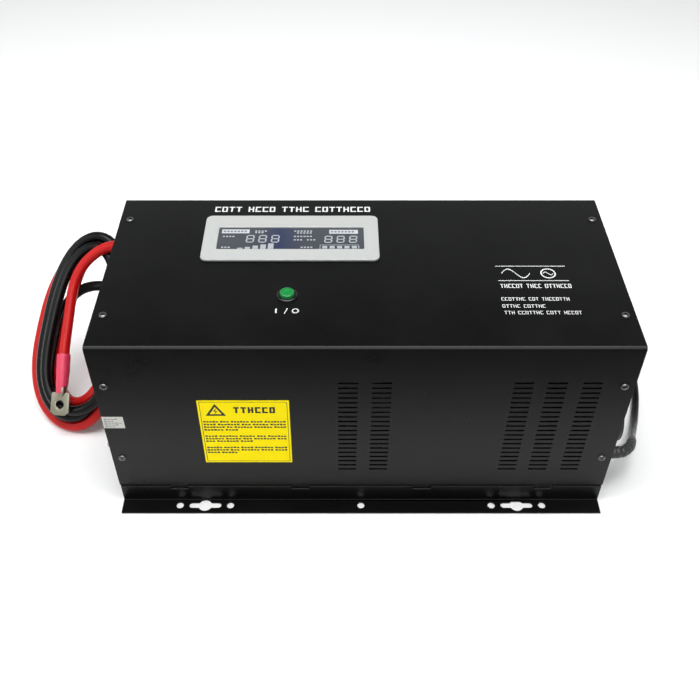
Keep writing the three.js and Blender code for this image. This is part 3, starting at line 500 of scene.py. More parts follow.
def lathe(bm, profile, origin, axis, sides=48, teeth=0, tooth=0.0):
    """Adds a turned body from (distance along, radius) in millimetres; teeth make its flanks ribbed."""
    axis = Vector(axis).normalized()
    side = axis.orthogonal().normalized()
    other = axis.cross(side)
    rings = []
    for distance, radius in profile:
        ring = []
        for k in range(sides):
            a = 2 * math.pi * k / sides
            r = radius - (tooth if teeth and (k * teeth // sides) % 2 else 0)
            ring.append(bm.verts.new(origin + (axis * distance
                                               + (side * math.cos(a) + other * math.sin(a)) * r) * MM))
        rings.append(ring)
    skin(bm, rings)


def hexagon(radius):
    return circle(0, 0, radius, 6)


def facing(origin, outward, upward=(0, 0, 1)):
    """A matrix whose plane faces outward at a point, with its second direction upward."""
    z = Vector(outward).normalized()
    x = Vector(upward).cross(z).normalized()
    matrix = Matrix((x, z.cross(x), z)).transposed().to_4x4()
    matrix.translation = origin
    return matrix


def cable_gland(name, node, y, z, outward, base, scale):
    """A moulded gland: hexagon against the panel and a ribbed clamping dome around the cable."""
    origin = Vector((base, y, z))
    nut = cut_sheet(name + "_hexagon", [hexagon(12.5 * scale)], 6 * scale, 0.6 * scale,
                    facing(origin, outward), nylon)
    bm = bmesh.new()
    collar = [(5.5, 10), (6.5, 10.2), (14, 10.1)]
    cap = [(13.5, 9.9), (16, 9.7), (18.6, 8.6), (20.4, 7.1), (21, 6.2), (20.6, 5.6)]
    lathe(bm, [(d * scale, r * scale) for d, r in collar], origin, outward, sides=96, teeth=48,
          tooth=0.45 * scale)
    lathe(bm, [(d * scale, r * scale) for d, r in cap], origin, outward)
    dome = add_piece(name + "_dome", bm, nylon)
    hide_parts(node)
    return nut, dome


red_gland = cable_gland("red_cable_gland", "red_gland", red_y, red_z, (-1, 0, 0), left_end, 1.0)
black_gland = cable_gland("black_cable_gland", "black_gland", black_y, black_z, (-1, 0, 0), left_end, 1.0)

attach(red_lead, "case")
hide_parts("red_lead", "battery_coil", "red_tail")
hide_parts("red_sleeve")
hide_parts("red_lug")
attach(black_lead, "case")
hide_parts("black_lead", "black_tail")
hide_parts("black_sleeve")
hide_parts("black_lug")

# ---- Mains lead: round PVC flex, 7.5 mm, 1.5 m long, on a moulded plug ----
# It leaves a small gland at the right end, runs round the corner of the case on the table top,
# and the rest is put away in a neat coil behind the case with the plug beside it.
right_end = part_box("right_panel")[1].x
mains_y, mains_z = middle("mains_gland")[1:]
wound_x, wound_y = middle("mains_coil")[:2]
plug_y, plug_z = middle("mains_plug")[1:]
plug_tail = Vector((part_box("mains_plug")[1].x, plug_y, plug_z))
mains_diameter = 7.5 * MM


def out_right(out, y, z):
    return Vector((right_end + out * MM, y * MM, z * MM))


mains_points = [Vector((right_end + d * MM, mains_y, mains_z)) for d in (4, 10, 16)]
mains_points += [out_right(*p) for p in (
    (23.5, -78.2, 39.3), (31.5, -71, 37.3), (37.5, -59.5, 32.5), (42.5, -46.5, 24), (50, -29, 14),
    (58, -9, 6.5), (64, 10, 4), (69, 30, 4), (72, 56, 4), (68, 86, 4), (55, 115, 4), (32, 134, 4),
    (4, 140.5, 4), (-22, 139, 4), (-42, 137.9, 4), (-60, 137.7, 4))]
wide, narrow = 44.3, 36.3
bottom, second, third = 4, 12, 20
turns = [(-90, wide, bottom), (-360, wide, bottom), (-480, narrow, bottom), (-660, narrow, bottom),
         (-780, narrow, second), (-960, narrow, second), (-1080, wide, second), (-1220, wide, second),
         (-1340, wide, third), (-1530, wide, third)]
for (a0, r0, z0), (a1, r1, z1) in zip(turns, turns[1:]):
    count = round((a0 - a1) / 20)
    for k in range(count):
        t = k / count
        ease = t * t * (3 - 2 * t)
        a, r = math.radians(a0 + (a1 - a0) * t), (r0 + (r1 - r0) * ease) * MM
        mains_points.append(Vector((wound_x + r * math.cos(a), wound_y + r * math.sin(a),
                                    (z0 + (z1 - z0) * ease) * MM)))
mains_points += [Vector((wound_x, wound_y - wide * MM, 20 * MM)),
                 Vector((wound_x - 17 * MM, plug_y - 6.6 * MM, 20 * MM)),
                 Vector((wound_x - 34 * MM, plug_y - 3.5 * MM, 19.4 * MM)),
                 Vector((plug_tail.x + 12 * MM, plug_y - 0.6 * MM, plug_z)),
                 Vector((plug_tail.x - 2 * MM, plug_y, plug_z))]
mains_lead = cord_curve("mains_flex", mains_points, mains_diameter)
mains_lead.data.materials.append(black_jacket)
boot_steps = 46
boot_path = resampled([Vector((right_end + 9 * MM, mains_y, mains_z)), *mains_points[2:6]], boot_steps)
boot_radii = []
for k in range(boot_steps):
    groove = 0.55 if 6 < k < 42 and k % 6 < 2 else 0
    boot_radii.append((6.3 - 1.9 * k / (boot_steps - 1) - groove) * MM)
boot_mesh = bmesh.new()
sweep(boot_mesh, boot_path, boot_radii)
mains_boot = add_piece("mains_strain_relief", boot_mesh, nylon, smooth_below=60)
mains_gland = cable_gland("mains_cable_gland", "mains_gland", mains_y, mains_z, (1, 0, 0), right_end, 0.56)

plug_mesh = bmesh.new()
lathe(plug_mesh, [(-1, 4.6), (0, 5.4), (4, 5.7), (14, 7.2), (20, 8.4), (24, 11.5), (29, 15.6), (34, 17.8),
                  (38, 18.5), (54, 18.5), (55.4, 18.0), (56, 17.0)], plug_tail, (-1, 0, 0), sides=64)
plug_body = add_piece("mains_plug_body", plug_mesh, nylon)
pins_mesh = bmesh.new()
for side in (-1, 1):
    lathe(pins_mesh, [(55, 2.4), (73, 2.4), (74.3, 2.0), (75, 1.1)],
          Vector((plug_tail.x, plug_y + side * 9.5 * MM, plug_z)), (-1, 0, 0), sides=32)
# Nickel plate over brass: warm and bright, with hairline scuffs from plugging in.
nickel = textured("nickel_plated_brass", "#c9c5bb", 0.22, 700.0, 3.0, sheen=(0.16, 0.32), metallic=1.0)
plug_pins = add_piece("mains_plug_pins", pins_mesh, nickel)
earth_mesh = bmesh.new()
for side in (-1, 1):
    bmesh.ops.create_cube(earth_mesh, size=1, matrix=Matrix.Translation(
        (plug_tail.x - 46 * MM, plug_y, plug_z + side * 18.1 * MM))
        @ Matrix.Diagonal((20 * MM, 5 * MM, 1.2 * MM, 1)))
bmesh.ops.bevel(earth_mesh, geom=earth_mesh.edges[:], offset=0.3 * MM, segments=2, affect="EDGES")
plug_earth = add_piece("mains_plug_earth_strips", earth_mesh, nickel)
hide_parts("mains_plug")
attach(mains_lead, "case")
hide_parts("mains_cord", "mains_coil")

# ---- Case: 1.2 mm folded steel cover on a 1.5 mm base, with pans for ends ----
# Black powder coat, baked on: satin, with the slight orange-peel waviness that makes the light of
# the softboxes break up softly over the flat sheets. Sheet edges are rounded by the thick coat.


def soft_shading():
    """A node group that shades a mesh smooth except over edges sharper than 30 degrees."""
    group = bpy.data.node_groups.new("soft_shading", "GeometryNodeTree")
    group.interface.new_socket("Geometry", in_out="INPUT", socket_type="NodeSocketGeometry")
    group.interface.new_socket("Geometry", in_out="OUTPUT", socket_type="NodeSocketGeometry")
    start = group.nodes.new("NodeGroupInput")
    end = group.nodes.new("NodeGroupOutput")
    bare = group.nodes.new("GeometryNodeRemoveAttribute")
    bare.inputs["Name"].default_value = "custom_normal"
    faces = group.nodes.new("GeometryNodeSetShadeSmooth")
    edges = group.nodes.new("GeometryNodeSetShadeSmooth")
    edges.domain = "EDGE"
    angle = group.nodes.new("GeometryNodeInputMeshEdgeAngle")
    gentle = group.nodes.new("FunctionNodeCompare")
    gentle.operation = "LESS_THAN"
    gentle.inputs[1].default_value = math.radians(30)
    for source, target in (
            (start.outputs[0], bare.inputs["Geometry"]), (bare.outputs[0], faces.inputs["Geometry"]),
            (faces.outputs[0], edges.inputs["Geometry"]), (angle.outputs["Unsigned Angle"], gentle.inputs[0]),
            (gentle.outputs[0], edges.inputs["Shade Smooth"]), (edges.outputs[0], end.inputs[0])):
        group.links.new(source, target)
    return group


shading = soft_shading()


def dress(name, material, edge=0.25):
    """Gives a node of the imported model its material, and rounds its sharp edges by so many millimetres."""
    part = cad[name]
    part.material_slots[0].link = "OBJECT"
    part.material_slots[0].material = material
    weld = part.modifiers.new("weld", "WELD")
    weld.merge_threshold = 0.01 * MM
    flat = part.modifiers.new("merge_flat_faces", "DECIMATE")
    flat.decimate_type = "DISSOLVE"
    flat.angle_limit = math.radians(0.5)
    if edge:
        bevel = part.modifiers.new("rounded_edges", "BEVEL")
        bevel.loop_slide = False
        bevel.limit_method = "ANGLE"
        bevel.angle_limit = math.radians(40)
        bevel.width = edge * MM
        bevel.segments = 2
        bevel.use_clamp_overlap = False
    part.modifiers.new("soft_shading", "NODES").node_group = shading
    part.modifiers.new("face_weighted_normals", "WEIGHTED_NORMAL").keep_sharp = True
    return part


def powder_coat():
    """Polyester powder coat, 0.08 mm: a low wavy skin. Its peel is 1.5 mm across, drawn a little coarser."""
    material, surface = new_material("black_powder_coat", "#030304", 0.28, ior=1.28)
    place = object_place(material)
    peel = noise(material, 420.0, 1.0, Vector=place)
    grit = noise(material, 1500.0, 1.0, Vector=place)
    wave = add_node(material, "ShaderNodeBump", Strength=0.16, Distance=0.0002, Height=peel)
    fine = add_node(material, "ShaderNodeBump", Strength=0.10, Distance=0.0001, Height=grit,
                    Normal=wave.outputs["Normal"])
    join(material, fine.outputs["Normal"], surface, "Normal")
    cloud = noise(material, 14.0, 5.0, Vector=place, Roughness=0.65)
    sheened(material, surface, cloud, 0.26, 0.34)
    tinted(material, surface, cloud, (0.35, "#020203"), (0.7, "#050506"))
    return material


coat = powder_coat()
dress("base_chassis", coat, 0.6)
for node in ("cover", "left_panel", "right_panel"):
    dress(node, coat)

# ---- Cover screws: M4 pan heads with a cross recess, twelve of them ----
# Black zinc plate: dark and glossy, with a painted highlight: its colour turns bright on the sharp rims of
# the head and of its recess.
black_zinc, zinc_surface = new_material("black_zinc_plated_steel", "#3a3a3c", 0.24, metallic=1.0)
# Painted highlight: the sharper and more convex an edge, the brighter its colour.
painted_highlight_edges = add_node(black_zinc, "ShaderNodeNewGeometry")
tinted(black_zinc, zinc_surface, painted_highlight_edges.outputs["Pointiness"], (0.5, "#2e2e30"), (0.62, "#8f8f90"))
plating = noise(black_zinc, 900.0, 3.0)
sheened(black_zinc, zinc_surface, plating, 0.18, 0.32)


def cross_head_mesh(name, radius, height, material):
    """A domed screw head standing up from its origin, with a tapered cross cut into it."""
    bm = bmesh.new()
    profile = [(-1.2, radius * 0.5), (0.02, radius * 0.55), (0.02, radius * 0.97), (height * 0.22, radius),
               (height * 0.5, radius * 0.94),
               (height * 0.78, radius * 0.76), (height * 0.94, radius * 0.48), (height, radius * 0.15)]
    lathe(bm, profile, Vector((0, 0, 0)), (0, 0, 1), sides=40)
    head = bpy.data.meshes.new(name)
    bmesh.ops.recalc_face_normals(bm, faces=bm.faces)
    bm.to_mesh(head)
    bm.free()
    cross = bmesh.new()
    for turn in (0, math.pi / 2):
        made = bmesh.ops.create_cube(cross, size=1)
        for vert in made["verts"]:
            top = vert.co.z > 0
            vert.co.x *= radius * (1.12 if top else 0.45) * MM
            vert.co.y *= radius * (0.27 if top else 0.18) * MM
            vert.co.z = (height * 1.1 if top else height * 0.12) * MM
        bmesh.ops.rotate(cross, verts=made["verts"], matrix=Matrix.Rotation(turn, 3, "Z"))
    cutter_mesh = bpy.data.meshes.new(name + "_cutter")
    cross.to_mesh(cutter_mesh)
    cross.free()
    blank = placed(name + "_blank", head)
    cutter = placed(name + "_cutter", cutter_mesh)
    recess = blank.modifiers.new("recess", "BOOLEAN")
    recess.operation = "DIFFERENCE"
    recess.solver = "EXACT"
    recess.use_self = True
    recess.object = cutter
    mesh = baked(blank)
    mesh.name = name
    bpy.data.objects.remove(cutter)
    mesh.polygons.foreach_set("use_smooth", [True] * len(mesh.polygons))
    mesh.set_sharp_from_angle(angle=math.radians(35))
    mesh.materials.clear()
    mesh.materials.append(material)
    return mesh


def set_head(name, mesh, matrix, body="case"):
    head = placed(name, mesh)
    head.matrix_world = matrix
    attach(head, body)
    return head


screw_head = cross_head_mesh("cross_head_screw", 3.6, 2.1, black_zinc)
faces_of_screws = {"top": ((0, 0, 1), (0, 1, 0)), "front": ((0, -1, 0), (0, 0, 1)),
                   "back": ((0, 1, 0), (0, 0, 1))}
for k, (side, (outward, upward)) in enumerate(faces_of_screws.items()):
    for i in range(1, 5):
        low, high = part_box(f"cover_screw_{side}_{i}")
        seat = (low + high) / 2
        if side == "top":
            seat.z = high.z - 2 * MM
        else:
            seat.y = low.y + 2 * MM if side == "front" else high.y - 2 * MM
        turn = Matrix.Rotation(math.radians(37 * i + 61 * k), 4, "Z")
        screw = set_head(f"screw_{side}_{i}", screw_head, facing(seat, outward, upward) @ turn)
        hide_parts(f"cover_screw_{side}_{i}")

# ---- Display: moulded bezel painted silver, with a segment display behind a clear window ----
# The bezel stands 2.6 mm above the cover with a soft rounded rim; the window sits 1.2 mm down in it.
top_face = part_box("cover")[1].z
on_top = facing((0, 0, top_face), (0, 0, 1), (0, 1, 0))


def rounded(x, y, width, height, radius, steps=8):
    """The outline of a rectangle with rounded corners, by its centre and size in millimetres."""
    points = []
    for k, (sx, sy) in enumerate(((1, 1), (-1, 1), (-1, -1), (1, -1))):
        for i in range(steps + 1):
            a = math.radians(90 * k + 90 * i / steps)
            points.append((x + sx * (width / 2 - radius) + radius * math.cos(a),
                           y + sy * (height / 2 - radius) + radius * math.sin(a)))
    return points


# Sprayed silver lacquer: tiny flakes give a soft, even glow with no mirror image.
silver = textured("silver_painted_abs", "#a9aba9", 0.34, 1300.0, 2.0,
                  tint=((0.3, "#a4a6a4"), (0.7, "#aeb0ae")), relief=(0.08, 0.0001), ior=1.48)
bezel_proud, bezel_rim = 2.6, 0.8
window_depth, window_sheet = 1.2, 0.9
window_x, window_y = -65.1, 38.8
bezel_outline = rounded(-65, 40, 161, 67.3, 6)
opening = rounded(window_x, window_y, 134, 33.2, 1.2)
bezel = cut_sheet("bezel", [bezel_outline, opening], bezel_proud, bezel_rim, on_top, silver)
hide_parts("display_bezel")

# The display's glass: slate grey with a painted bluish pool of light, a soft darker blue band painted into
# its colour, under a glossy clear window.
glass, glass_surface = new_material("segment_display_glass", "#4a5058", 0.09, ior=1.4)
glass_place = add_node(glass, "ShaderNodeSeparateXYZ", Vector=object_place(glass))
# Painted light: a darker blue band across the glass, placed by its distance from the left of the window.
painted_light_pool = eased_share(glass, glass_place.outputs["X"], -0.105, -0.045)
painted_light_pool_tone = tinted(glass, glass_surface, painted_light_pool, (0.0, "#34383f"), (1.0, "#373b42"))
painted_light_pool_tone.color_ramp.elements.new(0.5).color = srgb("#1d2748")
glass_surface.inputs["Coat Weight"].default_value = 0.5
glass_surface.inputs["Coat Roughness"].default_value = 0.04
under_window = lifted(on_top, bezel_proud - window_depth - window_sheet)
window_outline = rounded(window_x, window_y, 133.8, 33.0, 1.0)
window = cut_sheet("display_glass", [window_outline], window_sheet, 0.12, under_window, glass)
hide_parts("display_window")


def marks(name, shapes, matrix, material, thickness=0.04, body="case"):
    """Flat printed or inlaid marks: each shape is an outline in millimetres, raised by its thickness."""
    bm = bmesh.new()
    for shape in shapes:
        low = [bm.verts.new((x * MM, y * MM, 0)) for x, y in shape]
        high = [bm.verts.new((x * MM, y * MM, thickness * MM)) for x, y in shape]
        bm.faces.new(high)
        bm.faces.new(low[::-1])
        for i in range(len(shape)):
            j = (i + 1) % len(shape)
            bm.faces.new((low[i], low[j], high[j], high[i]))
    bm.transform(matrix)
    return add_piece(name, bm, material, body)


def bar(x0, x1, y0, y1, slant=0.0):
    """A rectangle, leaning to the right by slant times its height."""
    lean = (y1 - y0) * slant
    return [(x0, y0), (x1, y0), (x1 + lean, y1), (x0 + lean, y1)]


def digit(x, y, width, height, stroke, lit="abcdefg", slant=0.06):
    """A seven-segment figure with pointed segment ends, by its lower left corner."""
    w, h, s, g = width, height, stroke, stroke * 0.12
    half = h / 2
    spots = {"a": (s / 2, h - s / 2, w - s / 2, h - s / 2), "g": (s / 2, half, w - s / 2, half),
             "d": (s / 2, s / 2, w - s / 2, s / 2),
             "f": (s / 2, half, s / 2, h - s / 2), "e": (s / 2, s / 2, s / 2, half),
             "b": (w - s / 2, half, w - s / 2, h - s / 2), "c": (w - s / 2, s / 2, w - s / 2, half)}
    shapes = []
    for key in lit:
        x0, y0, x1, y1 = spots[key]
        length = math.hypot(x1 - x0, y1 - y0)
        ux, uy = (x1 - x0) / length, (y1 - y0) / length
        outline = [(g, 0), (g + s / 2, -s / 2), (length - g - s / 2, -s / 2), (length - g, 0),
                   (length - g - s / 2, s / 2), (g + s / 2, s / 2)]
        points = [(x0 + a * ux - b * uy, y0 + a * uy + b * ux) for a, b in outline]
        shapes.append([(x + px + py * slant, y + py) for px, py in points])
    return shapes


window_width, window_height = 133.6, 32.8
window_left, window_top = window_x - window_width / 2, window_y + window_height / 2


def in_window(u0, u1, v0, v1, slant=0.0):
    """A bar of the display, in shares of the window from its left and from its top."""
    return bar(window_left + u0 * window_width, window_left + u1 * window_width,
               window_top - v1 * window_height, window_top - v0 * window_height, slant)


def battery_outline(u0, u1, v0, v1, line):
    """A battery symbol: four thin sides and a cap."""
    du, dv = line / window_width, line / window_height
    return [in_window(u0, u1, v0, v0 + dv), in_window(u0, u1, v1 - dv, v1),
            in_window(u0, u0 + du, v0 + dv, v1 - dv),
            in_window(u1 - du, u1, v0 + dv, v1 - dv), in_window(u1, u1 + 1.4 * du, v0 + 0.08, v1 - 0.08)]


# The segments are pale because light comes back through them from a diffuser.
lit = textured("display_segments", "#9a9ea2", 0.12, 500.0, 1.0, tint=((0.0, "#8e9398"), (1.0, "#a6aaad")),
               ior=1.4)
figures = []
for u in (0.19, 0.275, 0.362):
    figures += digit(window_left + u * window_width, window_top - 0.68 * window_height, 7.6, 11.4, 1.35)
for u in (0.728, 0.812, 0.898):
    figures += digit(window_left + u * window_width, window_top - 0.69 * window_height, 7.4, 10.6, 1.3)
for u0, u1, share in ((0.14, 0.175, 0.05), (0.19, 0.226, 0.09), (0.243, 0.28, 0.15), (0.295, 0.333, 0.2),
                      (0.347, 0.385, 0.25)):
    figures.append(in_window(u0, u1, 0.97 - share, 0.97))
for u0 in (0.717, 0.767, 0.818, 0.868, 0.918):
    figures.append(in_window(u0, u0 + 0.034, 0.83, 0.95))
figures += battery_outline(0.7, 0.965, 0.78, 0.985, 0.5)
for u0, u1, v0 in ((0.03, 0.12, 0.37), (0.03, 0.1, 0.87), (0.25, 0.34, 0.12), (0.52, 0.66, 0.12),
                   (0.52, 0.66, 0.37), (0.52, 0.58, 0.53),
                   (0.61, 0.68, 0.53), (0.57, 0.66, 0.87), (0.25, 0.31, 0.19), (0.54, 0.64, 0.21)):
    for k in range(max(2, round((u1 - u0) / 0.022))):
        figures.append(in_window(u0 + k * 0.022, u0 + k * 0.022 + 0.014, v0, v0 + 0.055))
face_of_window = lifted(on_top, bezel_proud - window_depth)
marks("display_figures", figures, face_of_window, lit)

# Two printed legend boxes in the upper corners of the display.
legend = textured("printed_legend_white", "#b4b6b8", 0.3, 800.0, 1.0,
                  tint=((0.0, "#abadb0"), (1.0, "#bcbec0")), ior=1.4)
marks("display_legend_boxes", [in_window(0.02, 0.21, 0.07, 0.25), in_window(0.763, 0.962, 0.09, 0.27)],
      face_of_window, legend)
# Screen-printed grey ink, thinner at its edges, so its shine varies a little.
legend_ink = textured("printed_legend_grey", "#596068", 0.4, 900.0, 1.0, sheen=(0.3, 0.5, 0, 1), ior=1.45)
legend_words = []
for u0, v0 in ((0.032, 0.125), (0.775, 0.145)):
    for k in range(7):
        legend_words.append(in_window(u0 + k * 0.024, u0 + k * 0.024 + 0.015, v0, v0 + 0.07))
marks("display_legend_words", legend_words, lifted(face_of_window, 0.04), legend_ink)

# ---- Markings on the cover: white pad-printed ink, about 0.04 mm thick ----
# Generic: rows of plain strokes for lettering, a wave between two bars, and the marks for on and off.
# Pad printing lays the ink on unevenly, so the black shows through it in places.
ink = textured("white_pad_print_ink", "#cfd0d0", 0.45, 700.0, 3.0,
               tint=((0.25, "#bcbdbd"), (0.6, "#d4d5d5")), ior=1.4)


def stroke_sign(kind, x, y, w, h, s):
    """A made-up sign of thick strokes, as a stand-in for a letter."""
    signs = {
        0: [bar(x, x + s, y, y + h), bar(x + s, x + w, y, y + s), bar(x + s, x + w, y + h - s, y + h)],
        1: [bar(x, x + s, y, y + h), bar(x + w - s, x + w, y, y + h),
            bar(x + s, x + w - s, y + h / 2 - s / 2, y + h / 2 + s / 2)],
        2: [bar(x, x + w, y + h - s, y + h), bar(x + w / 2 - s / 2, x + w / 2 + s / 2, y, y + h - s)],
        3: [bar(x, x + s, y, y + h), bar(x + w - s, x + w, y, y + h), bar(x + s, x + w - s, y + h - s, y + h),
            bar(x + s, x + w - s, y, y + s)],
    }
    return signs[kind % 4]


def stroke_row(x0, x1, y0, y1, groups, stroke, seed=0):
    """A row of stand-in signs, in groups with gaps between them, filling a width exactly."""
    total = sum(groups)
    unit = (x1 - x0) / (total + 0.75 * (len(groups) - 1) - 0.2)
    shapes, at, n = [], x0, seed
    for group in groups:
        for _ in range(group):
            shapes += stroke_sign(n * 7 + n // 3, at, y0, unit * 0.8, y1 - y0, stroke)
            at += unit
            n += 1
        at += 0.75 * unit
    return shapes


def ring_marks(x, y, radius, line, start=0, end=360, steps=24):
    """Short straight pieces that make up a ring or an arc."""
    shapes = []
    for k in range(steps):
        a0, a1 = (math.radians(start + (end - start) * t / steps) for t in (k, k + 1))
        shapes.append([(x + r * math.cos(a), y + r * math.sin(a)) for r, a in
                       ((radius - line / 2, a0), (radius + line / 2, a0), (radius + line / 2, a1),
                        (radius - line / 2, a1))])
    return shapes


def wave_marks(x0, x1, y, height, line, steps=36):
    """One period of a wave as a ribbon of short pieces."""
    points = [(x0 + (x1 - x0) * k / steps, y + height / 2 * math.sin(2 * math.pi * k / steps))
              for k in range(steps + 1)]
    return [[(xa, ya - line / 2), (xb, yb - line / 2), (xb, yb + line / 2), (xa, ya + line / 2)]
            for (xa, ya), (xb, yb) in zip(points, points[1:])]


printed = stroke_row(-139.4, 8.9, 83.1, 91.3, (4, 4, 4, 8), 1.5)
printed += [bar(-74.6, -73.2, -62.6, -57.0), bar(-67.2, -66.4, -63.2, -56.4, 0.35)]
printed += ring_marks(-57.6, -59.8, 2.5, 1.0)
printed += [bar(117.7, 179.5, -0.3, 0.5), bar(117.7, 179.5, -20.4, -19.6)]
printed += wave_marks(122, 147, -10, 12, 1.3)
printed += ring_marks(163, -10, 6.2, 1.3) + wave_marks(158.6, 167.4, -10, 4, 1.1, 16)
printed += stroke_row(118.8, 180.3, -29.9, -24.5, (6, 4, 7), 0.8, 3)
printed += stroke_row(117.4, 175.3, -46.6, -42.4, (7, 3, 8), 0.65, 5)
printed += stroke_row(117.0, 153.4, -55.7, -51.6, (5, 6), 0.6, 1)
printed += stroke_row(117.6, 182.5, -64.0, -59.9, (3, 7, 4, 5), 0.6, 8)
marks("cover_markings", printed, on_top, ink)

# ---- Power button: moulded ring with a knurled edge, and a green push cap ----
# Glossy ABS. The cap is domed with a turned-in rim, and slides down inside the ring.
button_place = Vector((-65.4 * MM, -40 * MM, top_face))
# Moulded in a polished tool: a clear shine with a faint haze of handling.
black_abs = textured("glossy_black_abs", "#0b0b0c", 0.22, 300.0, 4.0, sheen=(0.16, 0.3), ior=1.54)
ring_mesh = bmesh.new()
lathe(ring_mesh, [(0, 8.7), (0.05, 9.1), (0.9, 9.1), (1.1, 8.95)], button_place, (0, 0, 1), sides=120,
      teeth=60, tooth=0.22)
outer = [(0.2, 8.8), (1.1, 8.8), (1.4, 8.6), (1.6, 8.1), (1.6, 6.9), (1.45, 6.6), (0.4, 6.55), (-6, 6.55)]
lathe(ring_mesh, outer, button_place, (0, 0, 1), sides=64)
lathe(ring_mesh, [(-22, 7.3), (-21.4, 7.8), (-1, 7.8), (0.1, 7.8)], button_place, (0, 0, 1), sides=48)
button_ring = add_piece("button_ring", ring_mesh, black_abs)
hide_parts("power_button_ring")

# Tinted through, so light enters and comes out again and the rim glows a little.
green, green_surface = new_material("glossy_green_cap", "#0b7a35", 0.2, ior=1.45)
green_surface.inputs["Subsurface Weight"].default_value = 0.15
green_surface.inputs["Subsurface Scale"].default_value = 0.002
green_cloud = noise(green, 220.0, 3.0)
tinted(green, green_surface, green_cloud, (0.3, "#08702f"), (0.7, "#0f843c"))
cap_mesh = bmesh.new()
lathe(cap_mesh, [(-7.6, 6.0), (-7.5, 6.2), (3.3, 6.2), (3.8, 6.1), (4.2, 5.75), (4.4, 5.2), (4.38, 4.8),
                 (4.15, 4.4), (4.12, 3.6),
                 (4.25, 2.4), (4.32, 1.2), (4.34, 0.1)], button_place, (0, 0, 1), sides=64)
button_cap = add_piece("button_cap", cap_mesh, green, "power_cap")
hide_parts("power_button_cap")
dress("power_button_nut", nylon, 0.4)

# ---- Rating label on the front and a small seal: vinyl and paper, stuck on ----
# Satin yellow vinyl, 0.3 mm with its adhesive, corners rounded by the die; generic marks in black.
front_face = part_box("cover")[0].y
on_front = facing((0, front_face, 0), (0, -1, 0))
# Calendered film: even colour with a faint long ripple over its adhesive.
yellow = textured("yellow_vinyl_film", "#f8e000", 0.5, 160.0, 3.0, tint=((0.3, "#f2dc00"), (0.6, "#fce600")),
                  relief=(0.06, 0.0003), ior=1.15)
film = 0.3
label = cut_sheet("front_yellow_label", [rounded(-103.1, 97.7, 79, 83, 0.6)], film, 0.1, on_front, yellow)
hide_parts("front_label")
# Thermal print in black, slightly duller than the film around it.
print_black = textured("black_label_print", "#1a1a12", 0.5, 900.0, 1.0, sheen=(0.42, 0.6, 0, 1), ior=1.45)


def frame_marks(x0, x1, y0, y1, line):
    return [bar(x0, x1, y0, y0 + line), bar(x0, x1, y1 - line, y1), bar(x0, x0 + line, y0 + line, y1 - line),
            bar(x1 - line, x1, y0 + line, y1 - line)]


def dashes(x0, x1, y0, y1, words, gap=1.3):
    """A line of stand-in text: dashes as long as words, filling a width exactly."""
    unit = (x1 - x0 - gap * (len(words) - 1)) / sum(words)
    shapes, at = [], x0
    for word in words:
        letters = max(1, round(word))
        step = word * unit / letters
        for k in range(letters):
            shapes.append(bar(at + k * step, at + (k + 0.8) * step, y0, y1 - (0.35 if k % 3 else 0)))
        at += word * unit + gap
    return shapes


label_marks = frame_marks(-140.9, -65.3, 58.0, 137.4, 0.5)
apex, left_foot, right_foot = (-127.5, 134.9), (-136.4, 119.8), (-118.6, 119.8)
inner = [(-127.5, 131.0), (-132.8, 121.9), (-122.2, 121.9)]
for outside, inside in (((apex, left_foot), (inner[0], inner[1])),
                        ((left_foot, right_foot), (inner[1], inner[2])),
                        ((right_foot, apex), (inner[2], inner[0]))):
    label_marks.append([outside[0], outside[1], inside[1], inside[0]])
label_marks += [[(-126.6, 129.6), (-129.7, 125.4), (-127.5, 125.6)],
                [(-127.5, 125.6), (-125.3, 126.0), (-128.6, 121.9)]]
label_marks += stroke_row(-111.9, -76.0, 123.2, 130.9, (6,), 1.9, 2)
rows = ((111.0, (5, 3, 6, 4, 7)), (107.4, (4, 7, 3, 5, 5)), (103.9, (7, 2, 6, 6, 4)), (100.3, (6, 4)),
        (91.8, (4, 6, 5, 3, 6)),
        (88.4, (6, 5, 3, 7, 3)), (85.0, (3, 7, 4)), (76.3, (5, 5, 4, 6, 4)), (72.9, (7, 3, 6, 4, 4)),
        (69.4, (4, 5)))
row_start, row_width = -139.4, 72.4
for height_on_label, words in rows:
    reach = row_start + row_width * min(1.0, sum(words) / 24)
    label_marks += dashes(row_start, reach, height_on_label, height_on_label + 2.1, words)
marks("label_print", label_marks, lifted(on_front, film), print_black, 0.03)

# Uncoated paper: its fibres scatter all light, so it is flat and matt.
paper_seal = textured("white_seal_paper", "#c4c3bd", 0.7, 1200.0, 2.0, relief=(0.1, 0.0001), ior=1.4)
seal_paper = 0.12
cut_sheet("seal_label", [rounded(-218.0, 110.7, 18.6, 14.8, 0.6)], seal_paper, 0.03, on_front, paper_seal)
seal_rows = []
for k, count in enumerate((4, 3, 5, 4, 3)):
    seal_rows += dashes(-225.8, -225.8 + 3.1 * count, 114.6 - 2.5 * k, 115.7 - 2.5 * k, (count,), 0.5)
marks("seal_print", seal_rows, lifted(on_front, seal_paper), legend_ink, 0.03)

# ---- Fan: 80 mm frame and seven-bladed rotor behind the right end, with a wire guard outside ----
# Glass-filled nylon mouldings; the guard is welded from 1.6 mm steel wire and chrome plated.
for node in ("fan_frame", "fan_rotor"):
    dress(node, nylon, 0.2)
fan_y, fan_z = middle("fan_frame")[1:]
# Bright chrome over drawn wire: a mirror line along each ring, hazed a little by dust.
chrome = textured("chromed_steel_wire", "#c6c8ca", 0.14, 500.0, 3.0, sheen=(0.09, 0.22), metallic=1.0)


